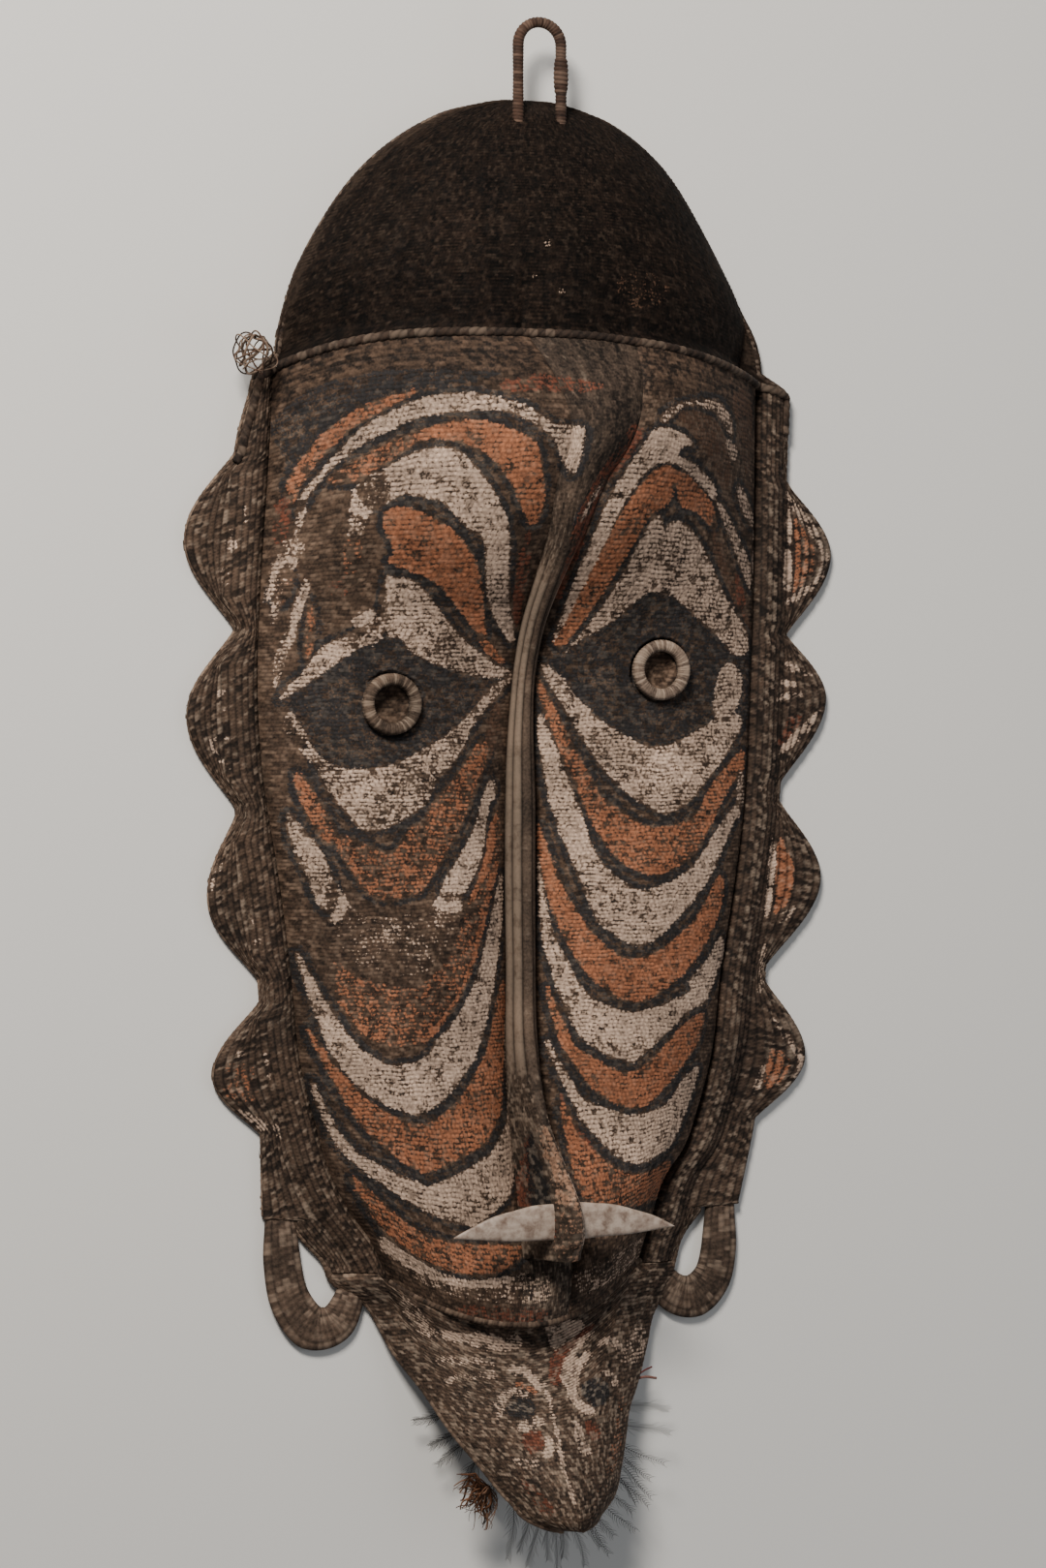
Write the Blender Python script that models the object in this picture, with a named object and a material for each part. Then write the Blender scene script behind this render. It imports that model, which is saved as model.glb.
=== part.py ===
"""Woven cane mask in the Middle Sepik manner, lying on its back with the painted face up.

Millimetres until the last step. x runs to the viewer's right, y up the mask towards the crown, z from
the flat back rim up through the face. The face, hood, flange and chin are one plaited shell.
"""

import math

import bmesh
import bpy
import numpy as np
from mathutils import Matrix, Vector

MM = 0.001
GAP = 0.3

# Heights up the mask
CROWN_Y = 1000.0
CHIN_Y = 13.5
BROW_Y = 797.0
EAR_TOP_Y = 226.0
LIP_Y = 186.0
LIP_UNDER_Y = 181.0
BROW_RISE = 32.0
LIP_DROP = 42.0
LIP_MID_X = -12.0

# Thicknesses and depths
WALL = 7.0
EDGE_Z = 6.0
GROOVE_Z = 12.0
STRIP_WIDTH = 26.0
STRIP_BULGE = 5.0
ROPE_RADIUS = 4.0
HOOD_STEP = 9.0
HOOD_DEPTH = 87.0

# Outline of the plain flange and chin without scallops, (y, x)
LEFT_EDGE = (
    (13.5, 3), (15, -5), (18, -13), (32, -27), (57, -45), (75, -58), (106, -76), (132, -94), (150, -103),
    (164, -112), (180, -136), (195, -143), (210, -157), (221, -165),
)
LEFT_FLANGE = ((226, -186), (283, -187), (376, -188), (499, -204), (628, -206), (767, -202), (797, -193))
RIGHT_EDGE = (
    (13.5, 19), (15, 25), (22, 37), (31, 48), (50, 58), (69, 66), (89, 74), (99, 80), (129, 94), (150, 101),
    (160, 107), (172, 114), (187, 118), (205, 125), (221, 138),
)
RIGHT_FLANGE = ((226, 167), (286, 180), (391, 188), (521, 199), (626, 203), (736, 204), (797, 206))
# Half widths of the dome as a quarter ellipse would need them, (y, mm)
HOOD_LEFT = ((797, 183), (827, 183), (868, 182), (908, 179), (964, 177), (1000, 170))
HOOD_RIGHT = ((797, 179), (815, 179), (840, 176), (866, 169), (920, 162), (973, 169), (1000, 172))
HOOD_MID_X = 5.8

# Scallops: (tip y, how far out, half length above, half length below)
LEFT_SCALLOPS = ((687, 33, 61, 58), (569, 33, 58, 63), (439, 28, 62, 50), (323, 34, 50, 40))
RIGHT_SCALLOPS = ((686, 35, 52, 58), (583, 33, 47, 60), (453, 37, 58, 60), (327, 34, 56, 42))
SCALLOP_FULLNESS = 0.6

# Lines on the face, (y, x): the grooves at the outer edges of the two lobes, and the centre ridge
LEFT_GROOVE = (
    (13.5, 5), (16, -2), (50, -30), (91, -56), (116, -70), (150, -84), (180, -93), (203, -106), (230, -126),
    (258, -140), (291, -150), (325, -159), (393, -167), (461, -176), (520, -186), (797, -180),
)
RIGHT_GROOVE = (
    (13.5, 16), (16, 22), (50, 49), (75, 58), (108, 70), (132, 80), (160, 86), (186, 89), (215, 98),
    (248, 110), (264, 122), (291, 133), (325, 143), (393, 152), (427, 158), (495, 168), (620, 175),
    (797, 178),
)
RIDGE_X = (
    (13.5, 11), (30, 10), (55, 9), (84, 10), (114, 10), (135, 4), (150, 2), (170, 4), (200, 8), (222, 8),
    (240, 6), (262, 4), (293, 0), (330, -2), (400, -2), (500, -2), (603, -2), (637, 0), (664, 3), (691, 7),
    (732, 14), (760, 25), (800, 24), (829, 16),
)
RIDGE_Z = (
    (201, 96), (208, 102), (222, 105), (238, 102), (262, 82), (293, 59), (325, 44), (350, 37), (400, 33),
    (500, 31), (570, 32), (603, 37), (637, 52), (664, 72), (691, 90), (728, 107), (760, 116), (800, 110),
    (829, 95),
)
RIDGE_HALF = (
    (199, 15), (215, 16), (250, 15), (300, 12), (360, 10.5), (520, 10.5), (603, 8), (640, 9), (700, 14),
    (766, 24), (829, 40),
)
# How square the ridge is on top: 1 is a roof, 3 a flat bundle
RIDGE_SQUARE = ((199, 1.25), (281, 1.6), (340, 2.8), (560, 2.8), (620, 2.0), (829, 1.7))
# Floor beside the ridge, by height along the ridge
FLOOR_Z = (
    (144, 52), (152, 56), (170, 55), (188, 48), (204, 41), (230, 36), (260, 28), (300, 20), (400, 14),
    (500, 14), (570, 18), (603, 24), (637, 39), (664, 60), (691, 81), (732, 99), (766, 106), (800, 101),
    (829, 88),
)
# Bulge of the lobes above the line from groove to floor
LOBE_BULGE = (
    (186, 6), (215, 16), (260, 26), (320, 31), (400, 31), (500, 27), (580, 21), (660, 21), (797, 20),
)
SEPTUM_Z = 5.0

# Chin
CHIN_EDGE_Z = (
    (13.5, 89), (18, 80), (31, 67), (53, 54), (72, 42), (97, 28), (130, 13), (157, 8), (181, 8),
)
CHIN_RIDGE_Z = ((13.5, 99), (18, 103), (30, 103), (53, 91), (84, 72), (112, 51), (132, 39), (144, 39))

# Ornaments
RING_OUTER = 21.5
RING_INNER = 12.5
RING_HEIGHT = 9.5
LEFT_EYE = (-104.0, 577.0)
RIGHT_EYE = (94.0, 602.0)
SEAT_Z = 34.8
PUPIL_RADIUS = 10.5
PUPIL_DEPTH = 3.0

BAR_X = 6.2
BAR_Y = 216.0
BAR_Z = 83.0
BAR_HALF_LENGTH = 80.5
BAR_HEIGHT = 20.0
BAR_SAG = 5.0
BAR_THICK = 6.4
BAR_SLOPE = math.radians(1.2)
BAR_CLEAR = 0.5

LOOP_X = 6.0
LOOP_Z = 33.0
LOOP_HALF = 15.8
LOOP_TOP_Y = 1050.5
LOOP_FOOT_Y = 978.0
CORD_RADIUS = 4.1
SOCKET_CLEAR = 0.4

EAR_THICK = 8.2
EAR_BASE_Z = 0.9

ROWS = (
    13.5, 15, 19, 27, 39, 55, 73, 93, 114, 134, 153, 168, 176, 181, 186, 194, 204, 214, 221, 226, 232, 244,
    258, 275, 292, 307, 323, 340, 358, 376, 396, 417, 439, 460, 480, 500, 521, 536, 552, 569, 586, 604, 626,
    645, 665, 687, 708, 732, 756, 778, 792, 795, 797, 799, 801, 807, 824, 850, 880, 910, 937, 960, 978, 990,
    997, 999.7,
)
LOBE_STEPS = (0.07, 0.25, 0.5, 0.76, 0.93)


def knots(table, at):
    """Smooth curve through the (station, value) pairs, level beyond both ends."""
    s, v = np.array(table, float).T
    slope = np.gradient(v, s)
    at = np.clip(at, s[0], s[-1])
    i = np.clip(np.searchsorted(s, at) - 1, 0, len(s) - 2)
    h = s[i + 1] - s[i]
    t = (at - s[i]) / h
    rise = v[i] * (1 + 2 * t) * (1 - t) ** 2 + v[i + 1] * t * t * (3 - 2 * t)
    return rise + h * (slope[i] * t * (1 - t) ** 2 + slope[i + 1] * t * t * (t - 1))


def lines(table, at):
    """Straight runs between the pairs."""
    s, v = np.array(table, float).T
    return np.interp(at, s, v)


def smooth(t):
    t = np.clip(t, 0.0, 1.0)
    return t * t * (3 - 2 * t)


def scallops(shapes, v):
    out = np.zeros_like(v)
    for tip, reach, above, below in shapes:
        t = np.where(v > tip, (v - tip) / above, (tip - v) / below)
        bump = 0.5 * (1 + np.cos(math.pi * np.clip(t, 0, 1)))
        out = np.maximum(out, reach * bump**SCALLOP_FULLNESS)
    return out


def edge(side, v):
    """x of the outline at height v, side -1 for the viewer's left and 1 for the right."""
    low, flange, bumps, dome = (
        (LEFT_EDGE, LEFT_FLANGE, LEFT_SCALLOPS, HOOD_LEFT)
        if side < 0
        else (RIGHT_EDGE, RIGHT_FLANGE, RIGHT_SCALLOPS, HOOD_RIGHT)
    )
    v = np.asarray(v, float)
    plate = knots(flange, v) + side * scallops(bumps, v)
    t = np.clip((v - BROW_Y) / (CROWN_Y + 0.6 - BROW_Y), 0, 1)
    hood = HOOD_MID_X + side * knots(dome, v) * np.sqrt(1 - t * t)
    corner = smooth((v - 799.0) / 10.0)
    upper = plate * (1 - corner) + hood * corner
    return np.where(v < 0.5 * (EAR_TOP_Y + 221.0), knots(low, v), upper)


def lift(x, v):
    """y of a point whose row is v: rows rise under the brow rope and sag along the lip."""
    up = np.where(v < BROW_Y, smooth((v - 620.0) / 177.0), smooth((CROWN_Y - v) / (CROWN_Y - BROW_Y)))
    crest = -35.0 + (HOOD_MID_X + 35.0) * smooth((v - BROW_Y) / 120.0)
    follow = smooth((v - BROW_Y) / 60.0)
    reach_l = 160.0 + (crest - edge(-1, v) - 160.0) * follow
    reach_r = 242.0 + (edge(1, v) - crest - 242.0) * follow
    side = np.where(x < crest, (crest - x) / reach_l, (x - crest) / reach_r)
    power = np.where(x < crest, 3.6, 2.2)
    brow = BROW_RISE * up * (1 - np.clip(side, 0, 1) ** power)
    sag = np.where(v > LIP_Y, smooth((330.0 - v) / 144.0), smooth((v - 60.0) / 126.0))
    half = np.interp(v, (0, 100, LIP_Y, 330), (20, 50, 95, 120))
    lip = LIP_DROP * sag * np.clip(1 - ((x - LIP_MID_X) / half) ** 2, 0, 1)
    return v + brow - lip


def ridge_at(v):
    """Height up the ridge of row v."""
    return lift(np.full_like(v, 2.0), v)


def groove_x(side, v):
    line = knots(LEFT_GROOVE if side < 0 else RIGHT_GROOVE, v)
    rim = edge(side, v)
    blend = smooth((v - 800.0) / 30.0)
    return line * (1 - blend) + (rim - side * 9.0) * blend


def flange_height(rim, groove, x):
    """Flat scallop rising to one raised strip beside the groove."""
    inward = np.abs(x - groove)
    strip = GROOVE_Z + STRIP_BULGE * np.sin(math.pi * np.clip(inward / STRIP_WIDTH, 0, 1))
    fall = np.clip(np.abs(x - rim) / 9.0, 0, 1)
    level = np.where(inward > STRIP_WIDTH, 9.0, strip - 3.0 * smooth(inward / STRIP_WIDTH))
    return EDGE_Z + (level - EDGE_Z) * np.sqrt(fall)


def face_height(x, v):
    y = ridge_at(v)
    rx, half, floor = knots(RIDGE_X, y), knots(RIDGE_HALF, y), knots(FLOOR_Z, y)
    crest = np.where(y < 196.5, floor + SEPTUM_Z, knots(RIDGE_Z, y))
    square = lines(RIDGE_SQUARE, y)
    off = np.abs(x - rx) / half
    ridge = floor + (crest - floor) * (1 - np.clip(off, 0, 1) ** square)
    z = ridge
    for side in (-1, 1):
        rim, groove = edge(side, v), groove_x(side, v)
        inner = rx + side * half
        s = np.clip((x - groove) / (inner - groove), 0, 1)
        bulge = knots(LOBE_BULGE, v) * (4 * s * (1 - s)) ** 0.8
        lobe = GROOVE_Z + (floor - GROOVE_Z) * s + bulge
        z = np.where(side * (x - inner) > 0, lobe, z)
        z = np.where(side * (x - groove) > 0, flange_height(rim, groove, x), z)
    rope = np.sqrt(np.clip(ROPE_RADIUS**2 - (v - BROW_Y) ** 2, 0, None))
    return z + rope


def hood_height(x, v):
    t = np.clip((v - BROW_Y) / (CROWN_Y + 0.6 - BROW_Y), 0, 1)
    depth = HOOD_DEPTH * (1 - t**2.2) ** 0.55
    mid = HOOD_MID_X
    half = np.where(x < mid, mid - edge(-1, v), edge(1, v) - mid)
    u = np.clip(np.abs(x - mid) / np.maximum(half, 1e-6), 0, 1)
    return EDGE_Z + np.maximum(depth - EDGE_Z, 0) * (1 - u**1.9) ** 0.75


def chin_height(x, v):
    low, high = edge(-1, v), edge(1, v)
    y = ridge_at(v)
    rx = knots(RIDGE_X, y)
    rim, crest = knots(CHIN_EDGE_Z, v), knots(CHIN_RIDGE_Z, y)
    u = np.where(x < rx, (rx - x) / (rx - low), (x - rx) / (high - rx))
    u = np.clip(u, 0, 1)
    return rim + (crest - rim) * (0.45 * (1 - u) + 0.55 * (1 - u**2.4))


def height(x, v):
    """z of the outer surface at x on row v."""
    x, v = np.broadcast_arrays(np.asarray(x, float), np.asarray(v, float))
    x = np.clip(x, edge(-1, v), edge(1, v))
    below = smooth((LIP_Y - v) / (LIP_Y - LIP_UNDER_Y))
    above = smooth((v - BROW_Y - 2.0) / 1.8)
    face = face_height(x, np.clip(v, LIP_Y - 6, BROW_Y + 4))
    z = face * (1 - below) + chin_height(x, np.minimum(v, LIP_Y)) * below
    hood = hood_height(x, np.maximum(v, BROW_Y))
    start = np.clip(v, None, BROW_Y + 4)
    inside = np.clip(x, edge(-1, start), edge(1, start))
    rise = face_height(inside, start) - HOOD_STEP - hood_height(inside, start)
    hood = hood + np.minimum(rise, 12) * (1 - smooth((v - 799) / 75.0))
    return z * (1 - above) + np.maximum(hood, EDGE_Z) * above


def inner_height(x, v):
    """z of the inner wall: the lowest outer height within a wall's width, less the wall."""
    low = height(x, v)
    for k in range(8):
        a = k * math.pi / 4
        near_v = np.clip(v + WALL * math.sin(a), CHIN_Y, CROWN_Y)
        low = np.minimum(low, height(x + WALL * math.cos(a), near_v))
    return np.clip(low - WALL, 0, None)


def columns(v):
    """x of every column of the shell along row v, following groove, lobe and ridge."""
    y = ridge_at(v)
    rx, half = knots(RIDGE_X, y), knots(RIDGE_HALF, y)
    narrow = smooth((v - 30.0) / 150.0)
    half = half * narrow + 4.0 * (1 - narrow)
    left, right = edge(-1, v), edge(1, v)
    gl, gr = groove_x(-1, v), groove_x(1, v)
    inner_l, inner_r = rx - half, rx + half
    line = [left, left + 0.35 * (gl - left), left + 0.68 * (gl - left), gl]
    line += [gl + f * (inner_l - gl) for f in LOBE_STEPS]
    line += [inner_l, rx - 0.5 * half, rx, rx + 0.5 * half, inner_r]
    line += [gr + f * (inner_r - gr) for f in reversed(LOBE_STEPS)]
    line += [gr, right + 0.68 * (gr - right), right + 0.35 * (gr - right), right]
    face = np.array(line)
    n = len(face)
    angle = math.pi * (np.arange(n) / (n - 1) - 0.5)
    even = np.sin(angle)[:, None] * 0.7 + (angle / (math.pi / 2))[:, None] * 0.3
    mid, wide = 0.5 * (left + right), 0.5 * (right - left)
    dome = mid + even * wide
    flat = mid + np.linspace(-1, 1, n)[:, None] * wide
    tip = smooth((v - 960.0) / 35.0)
    blend = smooth((v - 802.0) / 60.0)
    face = face * (1 - blend) + (dome * (1 - tip) + flat * tip) * blend
    beak = smooth((120.0 - v) / 80.0)
    return face * (1 - beak) + flat * beak


def clear_scene():
    for old in list(bpy.data.objects):
        bpy.data.objects.remove(old, do_unlink=True)


def finish(bm, name):
    bmesh.ops.recalc_face_normals(bm, faces=bm.faces)
    mesh = bpy.data.meshes.new(name)
    bm.to_mesh(mesh)
    bm.free()
    obj = bpy.data.objects.new(name, mesh)
    bpy.context.scene.collection.objects.link(obj)
    return obj


def shell():
    """The plaited body: an outer and an inner grid of the same rows and columns, sewn round the rim."""
    v = np.array(ROWS, float)
    x = columns(v)
    rows = np.broadcast_to(v, x.shape)
    y = lift(x, rows)
    top = height(x, rows)
    low = inner_height(x, rows)
    n = len(x)
    for c in (0, 1, 2, 3, n - 4, n - 3, n - 2, n - 1):
        low[c] = np.where((v > 168) & (v < 803), 0.0, low[c])
    low = np.minimum(low, top - 4.5)
    low = np.where(low < 0.6, 0.0, low)
    bm = bmesh.new()
    sheets = []
    for z in (top, low):
        before = len(bm.verts)
        bmesh.ops.create_grid(bm, x_segments=n - 1, y_segments=len(v) - 1, size=1.0)
        bm.verts.ensure_lookup_table()
        sheet = np.array(bm.verts[before:], dtype=object).reshape(len(v), n)
        for j in range(len(v)):
            for i in range(n):
                sheet[j, i].co = (x[i, j], y[i, j], z[i, j])
        sheets.append(sheet)
    upper, under = sheets
    for face in [f for f in bm.faces if f.verts[0].index >= 0 and f.verts[0] in set(under.ravel())]:
        face.normal_flip()
    ring = [(j, 0) for j in range(len(v))] + [(len(v) - 1, i) for i in range(1, n)]
    ring += [(j, n - 1) for j in range(len(v) - 2, -1, -1)] + [(0, i) for i in range(n - 2, 0, -1)]
    for a, b in zip(ring, ring[1:] + ring[:1]):
        bm.faces.new((upper[a], upper[b], under[b], under[a]))
    return finish(bm, "woven_body")


def tube(name, path, wide, thick, sides=8, closed=False, up=(0, 0, 1), lean=0.0):
    """A band of oval section along a path. wide and thick are half sizes, one number or one per point."""
    path = [Vector(p) for p in path]
    n = len(path)
    wide = np.broadcast_to(np.asarray(wide, float), (n,))
    thick = np.broadcast_to(np.asarray(thick, float), (n,))
    rings = n + 1 if closed else n
    bm = bmesh.new()
    bmesh.ops.create_grid(bm, x_segments=sides, y_segments=rings - 1, size=1.0)
    bm.verts.ensure_lookup_table()
    for j in range(rings):
        k = j % n
        ahead = path[(k + 1) % n] if closed or k < n - 1 else path[k]
        behind = path[k - 1] if closed or k > 0 else path[k]
        along = (ahead - behind).normalized()
        out = along.cross(Vector(up))
        if out.length < 1e-6:
            out = along.cross(Vector((0.3, 0.2, 1)))
        out.normalize()
        raised = out.cross(along).normalized()
        for i in range(sides + 1):
            a = 2 * math.pi * (i % sides) / sides + lean
            point = path[k] + out * (wide[k] * math.cos(a)) + raised * (thick[k] * math.sin(a))
            bm.verts[j * (sides + 1) + i].co = point
    bmesh.ops.remove_doubles(bm, verts=bm.verts, dist=0.001)
    rim = [e for e in bm.edges if e.is_boundary]
    if rim:
        bmesh.ops.holes_fill(bm, edges=rim, sides=0)
    return finish(bm, name)


def drum(name, x, y, z_low, z_high, radius, sides=28):
    bm = bmesh.new()
    bmesh.ops.create_cone(
        bm, cap_ends=True, segments=sides, radius1=radius, radius2=radius, depth=z_high - z_low,
        matrix=Matrix.Translation((x, y, 0.5 * (z_low + z_high))),
    )
    return finish(bm, name)


def hide(obj):
    obj.hide_render = True
    obj.display_type = "WIRE"
    return obj


def combine(obj, other, operation):
    modifier = obj.modifiers.new(other.name, "BOOLEAN")
    modifier.operation = operation
    modifier.solver = "EXACT"
    modifier.object = hide(other)


def bake(obj):
    """The evaluated shape as the object's own mesh, and its helpers gone."""
    helpers = [m.object for m in obj.modifiers]
    graph = bpy.context.evaluated_depsgraph_get()
    obj.data = bpy.data.meshes.new_from_object(obj.evaluated_get(graph))
    obj.modifiers.clear()
    for helper in helpers:
        bpy.data.objects.remove(helper, do_unlink=True)
    return obj


def bow(points, steps):
    """Even points along a smooth curve through a few given ones."""
    s = np.arange(len(points), dtype=float)
    at = np.linspace(0, len(points) - 1, steps)
    flat = np.array(points, float)
    return [tuple(knots(np.column_stack((s, flat[:, k])), at)[i] for k in range(3)) for i in range(steps)]


def ear(name, side):
    """Flat plaited strap that leaves the flange, turns under the ear hole and runs back into the cheek."""
    z = EAR_BASE_Z + 0.5 * EAR_THICK
    if side < 0:
        turns = (
            (-173, 246), (-173, 218), (-171.5, 192), (-166, 168), (-152, 149.5), (-134.5, 150.5),
            (-124.5, 166), (-120, 188),
        )
    else:
        turns = (
            (154, 246), (152.5, 218), (151.5, 192), (146.5, 172.5), (134, 160.5), (119, 162),
            (107.5, 174), (103, 192),
        )
    path = bow([(x, y, z) for x, y in turns], 22)
    grow = np.interp(np.arange(22), (0, 5, 9, 12, 16, 21), (9.0, 13.2, 14.5, 15.6, 13.5, 8.0))
    low = np.interp(np.arange(22), (0, 4, 17, 21), (2.6, 4.1, 4.1, 2.6))
    return tube(name, path, grow, low, sides=8, lean=math.pi / 8)


def ring(name, centre):
    """Cane ring with a rounded top, standing on its flat seat."""
    bm = bmesh.new()
    profile = (
        (RING_OUTER, 0.0), (RING_OUTER, 5.2), (RING_OUTER - 3.4, RING_HEIGHT), (RING_INNER + 2.4, RING_HEIGHT - 0.6),
        (RING_INNER - 0.4, RING_HEIGHT - 4.0), (RING_INNER - 0.4, 0.0),
    )
    base = Vector((centre[0], centre[1], SEAT_Z + GAP))
    loop = [bm.verts.new(base + Vector((r, 0, z))) for r, z in profile]
    edges = [bm.edges.new((a, b)) for a, b in zip(loop, loop[1:] + loop[:1])]
    bmesh.ops.spin(
        bm, geom=loop + edges, cent=base, axis=(0, 0, 1), angle=2 * math.pi, steps=24, use_merge=True
    )
    bmesh.ops.remove_doubles(bm, verts=bm.verts, dist=0.01)
    return finish(bm, name)


def shell_bar(name, grow):
    """Shell blade with pointed ends, a bowed upper edge and a nearly straight lower edge."""
    steps = 19
    sides = 8
    bm = bmesh.new()
    bmesh.ops.create_grid(bm, x_segments=sides, y_segments=steps - 1, size=1.0)
    bm.verts.ensure_lookup_table()
    turn = Matrix.Rotation(BAR_SLOPE, 3, "Z")
    for j in range(steps):
        t = math.sin(math.pi * (j / (steps - 1) - 0.5))
        rise = BAR_HEIGHT * (1 - abs(t) ** 2.3) + 0.8
        sag = BAR_SAG * (1 - t * t)
        middle, half = 0.5 * (rise - sag), 0.5 * (rise + sag) + grow
        thick = 0.5 * BAR_THICK * (0.35 + 0.65 * (1 - t * t)) + grow
        for i in range(sides + 1):
            a = 2 * math.pi * (i % sides) / sides + math.pi / 8
            spread = abs(math.cos(a)) ** 0.8 * math.copysign(1, math.cos(a))
            local = Vector((t * (BAR_HALF_LENGTH + grow), middle + half * spread, thick * math.sin(a)))
            bm.verts[j * (sides + 1) + i].co = turn @ local + Vector((BAR_X, BAR_Y, BAR_Z))
    bmesh.ops.remove_doubles(bm, verts=bm.verts, dist=0.001)
    bmesh.ops.holes_fill(bm, edges=[e for e in bm.edges if e.is_boundary], sides=0)
    return finish(bm, name)


def hanging_loop(name, grow):
    """Wrapped cord bent into a tall loop, with a lashing on its right leg."""
    path, radii = [], []
    for j in range(9):
        path.append((LOOP_X - LOOP_HALF, LOOP_FOOT_Y + j * (LOOP_TOP_Y - LOOP_HALF - LOOP_FOOT_Y) / 8, LOOP_Z))
        radii.append(CORD_RADIUS)
    for j in range(1, 8):
        a = math.pi * (1 - j / 8)
        path.append((LOOP_X + LOOP_HALF * math.cos(a), LOOP_TOP_Y - LOOP_HALF + LOOP_HALF * math.sin(a), LOOP_Z))
        radii.append(CORD_RADIUS)
    for j in range(8, -1, -1):
        y = LOOP_FOOT_Y + j * (LOOP_TOP_Y - LOOP_HALF - LOOP_FOOT_Y) / 8
        path.append((LOOP_X + LOOP_HALF, y, LOOP_Z))
        radii.append(CORD_RADIUS + 1.5 * math.exp(-(((y - 1014.0) / 9.0) ** 2)))
    return tube(name, path, np.array(radii) + grow, np.array(radii) + grow, sides=8)


def vine_ball(name):
    """Springy ball of a few thin vine loops that cross and are tied where they cross."""
    centre = Vector((-199.0, 816.0, 28.5))
    radius = 15.6
    ball = None
    for k, (tip, spin) in enumerate(((12, 0), (66, 35), (-62, 95))):
        path = []
        frame = Matrix.Rotation(math.radians(spin), 3, "Z") @ Matrix.Rotation(math.radians(tip), 3, "X")
        for j in range(14):
            a = 2 * math.pi * j / 14
            r = radius * (1 + 0.05 * math.sin(3 * a + k))
            path.append(centre + frame @ Vector((r * math.cos(a), r * math.sin(a), 0)))
        normal = frame @ Vector((0, 0, 1))
        piece = tube(f"{name}_{k}", path, 1.4, 1.4, sides=5, closed=True, up=normal)
        if ball is None:
            ball = piece
            ball.name = name
        else:
            combine(ball, piece, "UNION")
    return bake(ball)


def tuft(name):
    """Curled dry strips bound to one knot behind the lower left edge of the chin."""
    knot = Vector((-34.5, 39.0, 42.0))
    bm = bmesh.new()
    bmesh.ops.create_icosphere(
        bm, subdivisions=2, radius=1.0, matrix=Matrix.Translation(knot) @ Matrix.Diagonal((6.5, 9.0, 4.5, 1))
    )
    body = finish(bm, name)
    for k in range(7):
        a = math.radians(172 + 17 * k)
        reach = 32.0 + 9.0 * math.sin(0.9 * k - 0.6)
        path = []
        for j in range(6):
            t = j / 5
            curl = 7.0 * math.sin(1.3 * math.pi * t + k)
            path.append((
                knot.x + reach * t * math.cos(a) * 0.75 - curl * 0.35 * math.sin(a),
                knot.y + reach * t * math.sin(a) * 1.05 + curl * 0.35 * math.cos(a),
                knot.z + 1.2 * math.sin(k * 1.7) - 5.0 * t + 2.0 * t * math.cos(k),
            ))
        piece = tube(f"{name}_{k}", path, np.linspace(2.0, 1.1, 6), np.linspace(1.0, 0.7, 6), sides=4)
        combine(body, piece, "UNION")
    return bake(body)


def fringe(name):
    """Soft plumes bound on a cord that follows the back of the chin."""
    stations = (
        (-60, 90, 15), (-46, 68, 22), (-33, 50, 27), (-17, 33, 38), (0, 25, 50), (14, 24, 56), (30, 35, 50),
        (44, 54, 40), (54, 72, 29), (64, 95, 15),
    )
    path = bow(stations, 17)
    cord = tube(name, path, 2.6, 2.6, sides=6)
    plumes = (
        (0.02, 205, 22), (0.12, 225, 24), (0.36, 262, 44), (0.45, 268, 42), (0.52, 280, 44), (0.58, 292, 46),
        (0.64, 304, 50), (0.7, 314, 54), (0.76, 322, 56), (0.82, 330, 56), (0.88, 338, 56), (0.93, 345, 54),
        (0.98, 350, 50),
    )
    for k, (place, bearing, reach) in enumerate(plumes):
        at = place * 16
        i = min(int(at), 15)
        start = Vector(path[i]).lerp(Vector(path[i + 1]), at - i)
        a = math.radians(bearing)
        line = []
        for j in range(5):
            t = j / 4
            droop = 0.12 * reach * t * t * (1 if k % 2 else -1)
            line.append((
                start.x + reach * t * math.cos(a) - droop * math.sin(a),
                start.y + reach * t * math.sin(a) + droop * math.cos(a),
                start.z - 0.12 * reach * t * t,
            ))
        piece = tube(f"{name}_{k}", line, (1.7, 2.6, 2.8, 2.0, 0.7), (1.1, 1.0, 0.9, 0.7, 0.4), sides=4)
        combine(cord, piece, "UNION")
    return bake(cord)


MATERIALS = {
    "woven_body": ("painted_cane", (0.30, 0.19, 0.12), 0.85),
    "hanging_loop": ("wrapped_cord", (0.24, 0.13, 0.08), 0.9),
    "eye_ring_left": ("cane_ring", (0.50, 0.42, 0.33), 0.7),
    "eye_ring_right": ("cane_ring", (0.50, 0.42, 0.33), 0.7),
    "nose_bar": ("worn_shell", (0.72, 0.68, 0.60), 0.45),
    "vine_tangle": ("dry_vine", (0.28, 0.16, 0.10), 0.8),
    "fibre_tuft": ("rusty_fibre", (0.30, 0.13, 0.06), 0.9),
    "plume_fringe": ("dark_plumes", (0.035, 0.03, 0.03), 0.8),
}


def material(slot, colour, rough):
    found = bpy.data.materials.get(slot)
    if found:
        return found
    made = bpy.data.materials.new(slot)
    made.use_nodes = True
    shader = made.node_tree.nodes["Principled BSDF"]
    shader.inputs["Base Color"].default_value = (*colour, 1.0)
    shader.inputs["Roughness"].default_value = rough
    return made


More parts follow.
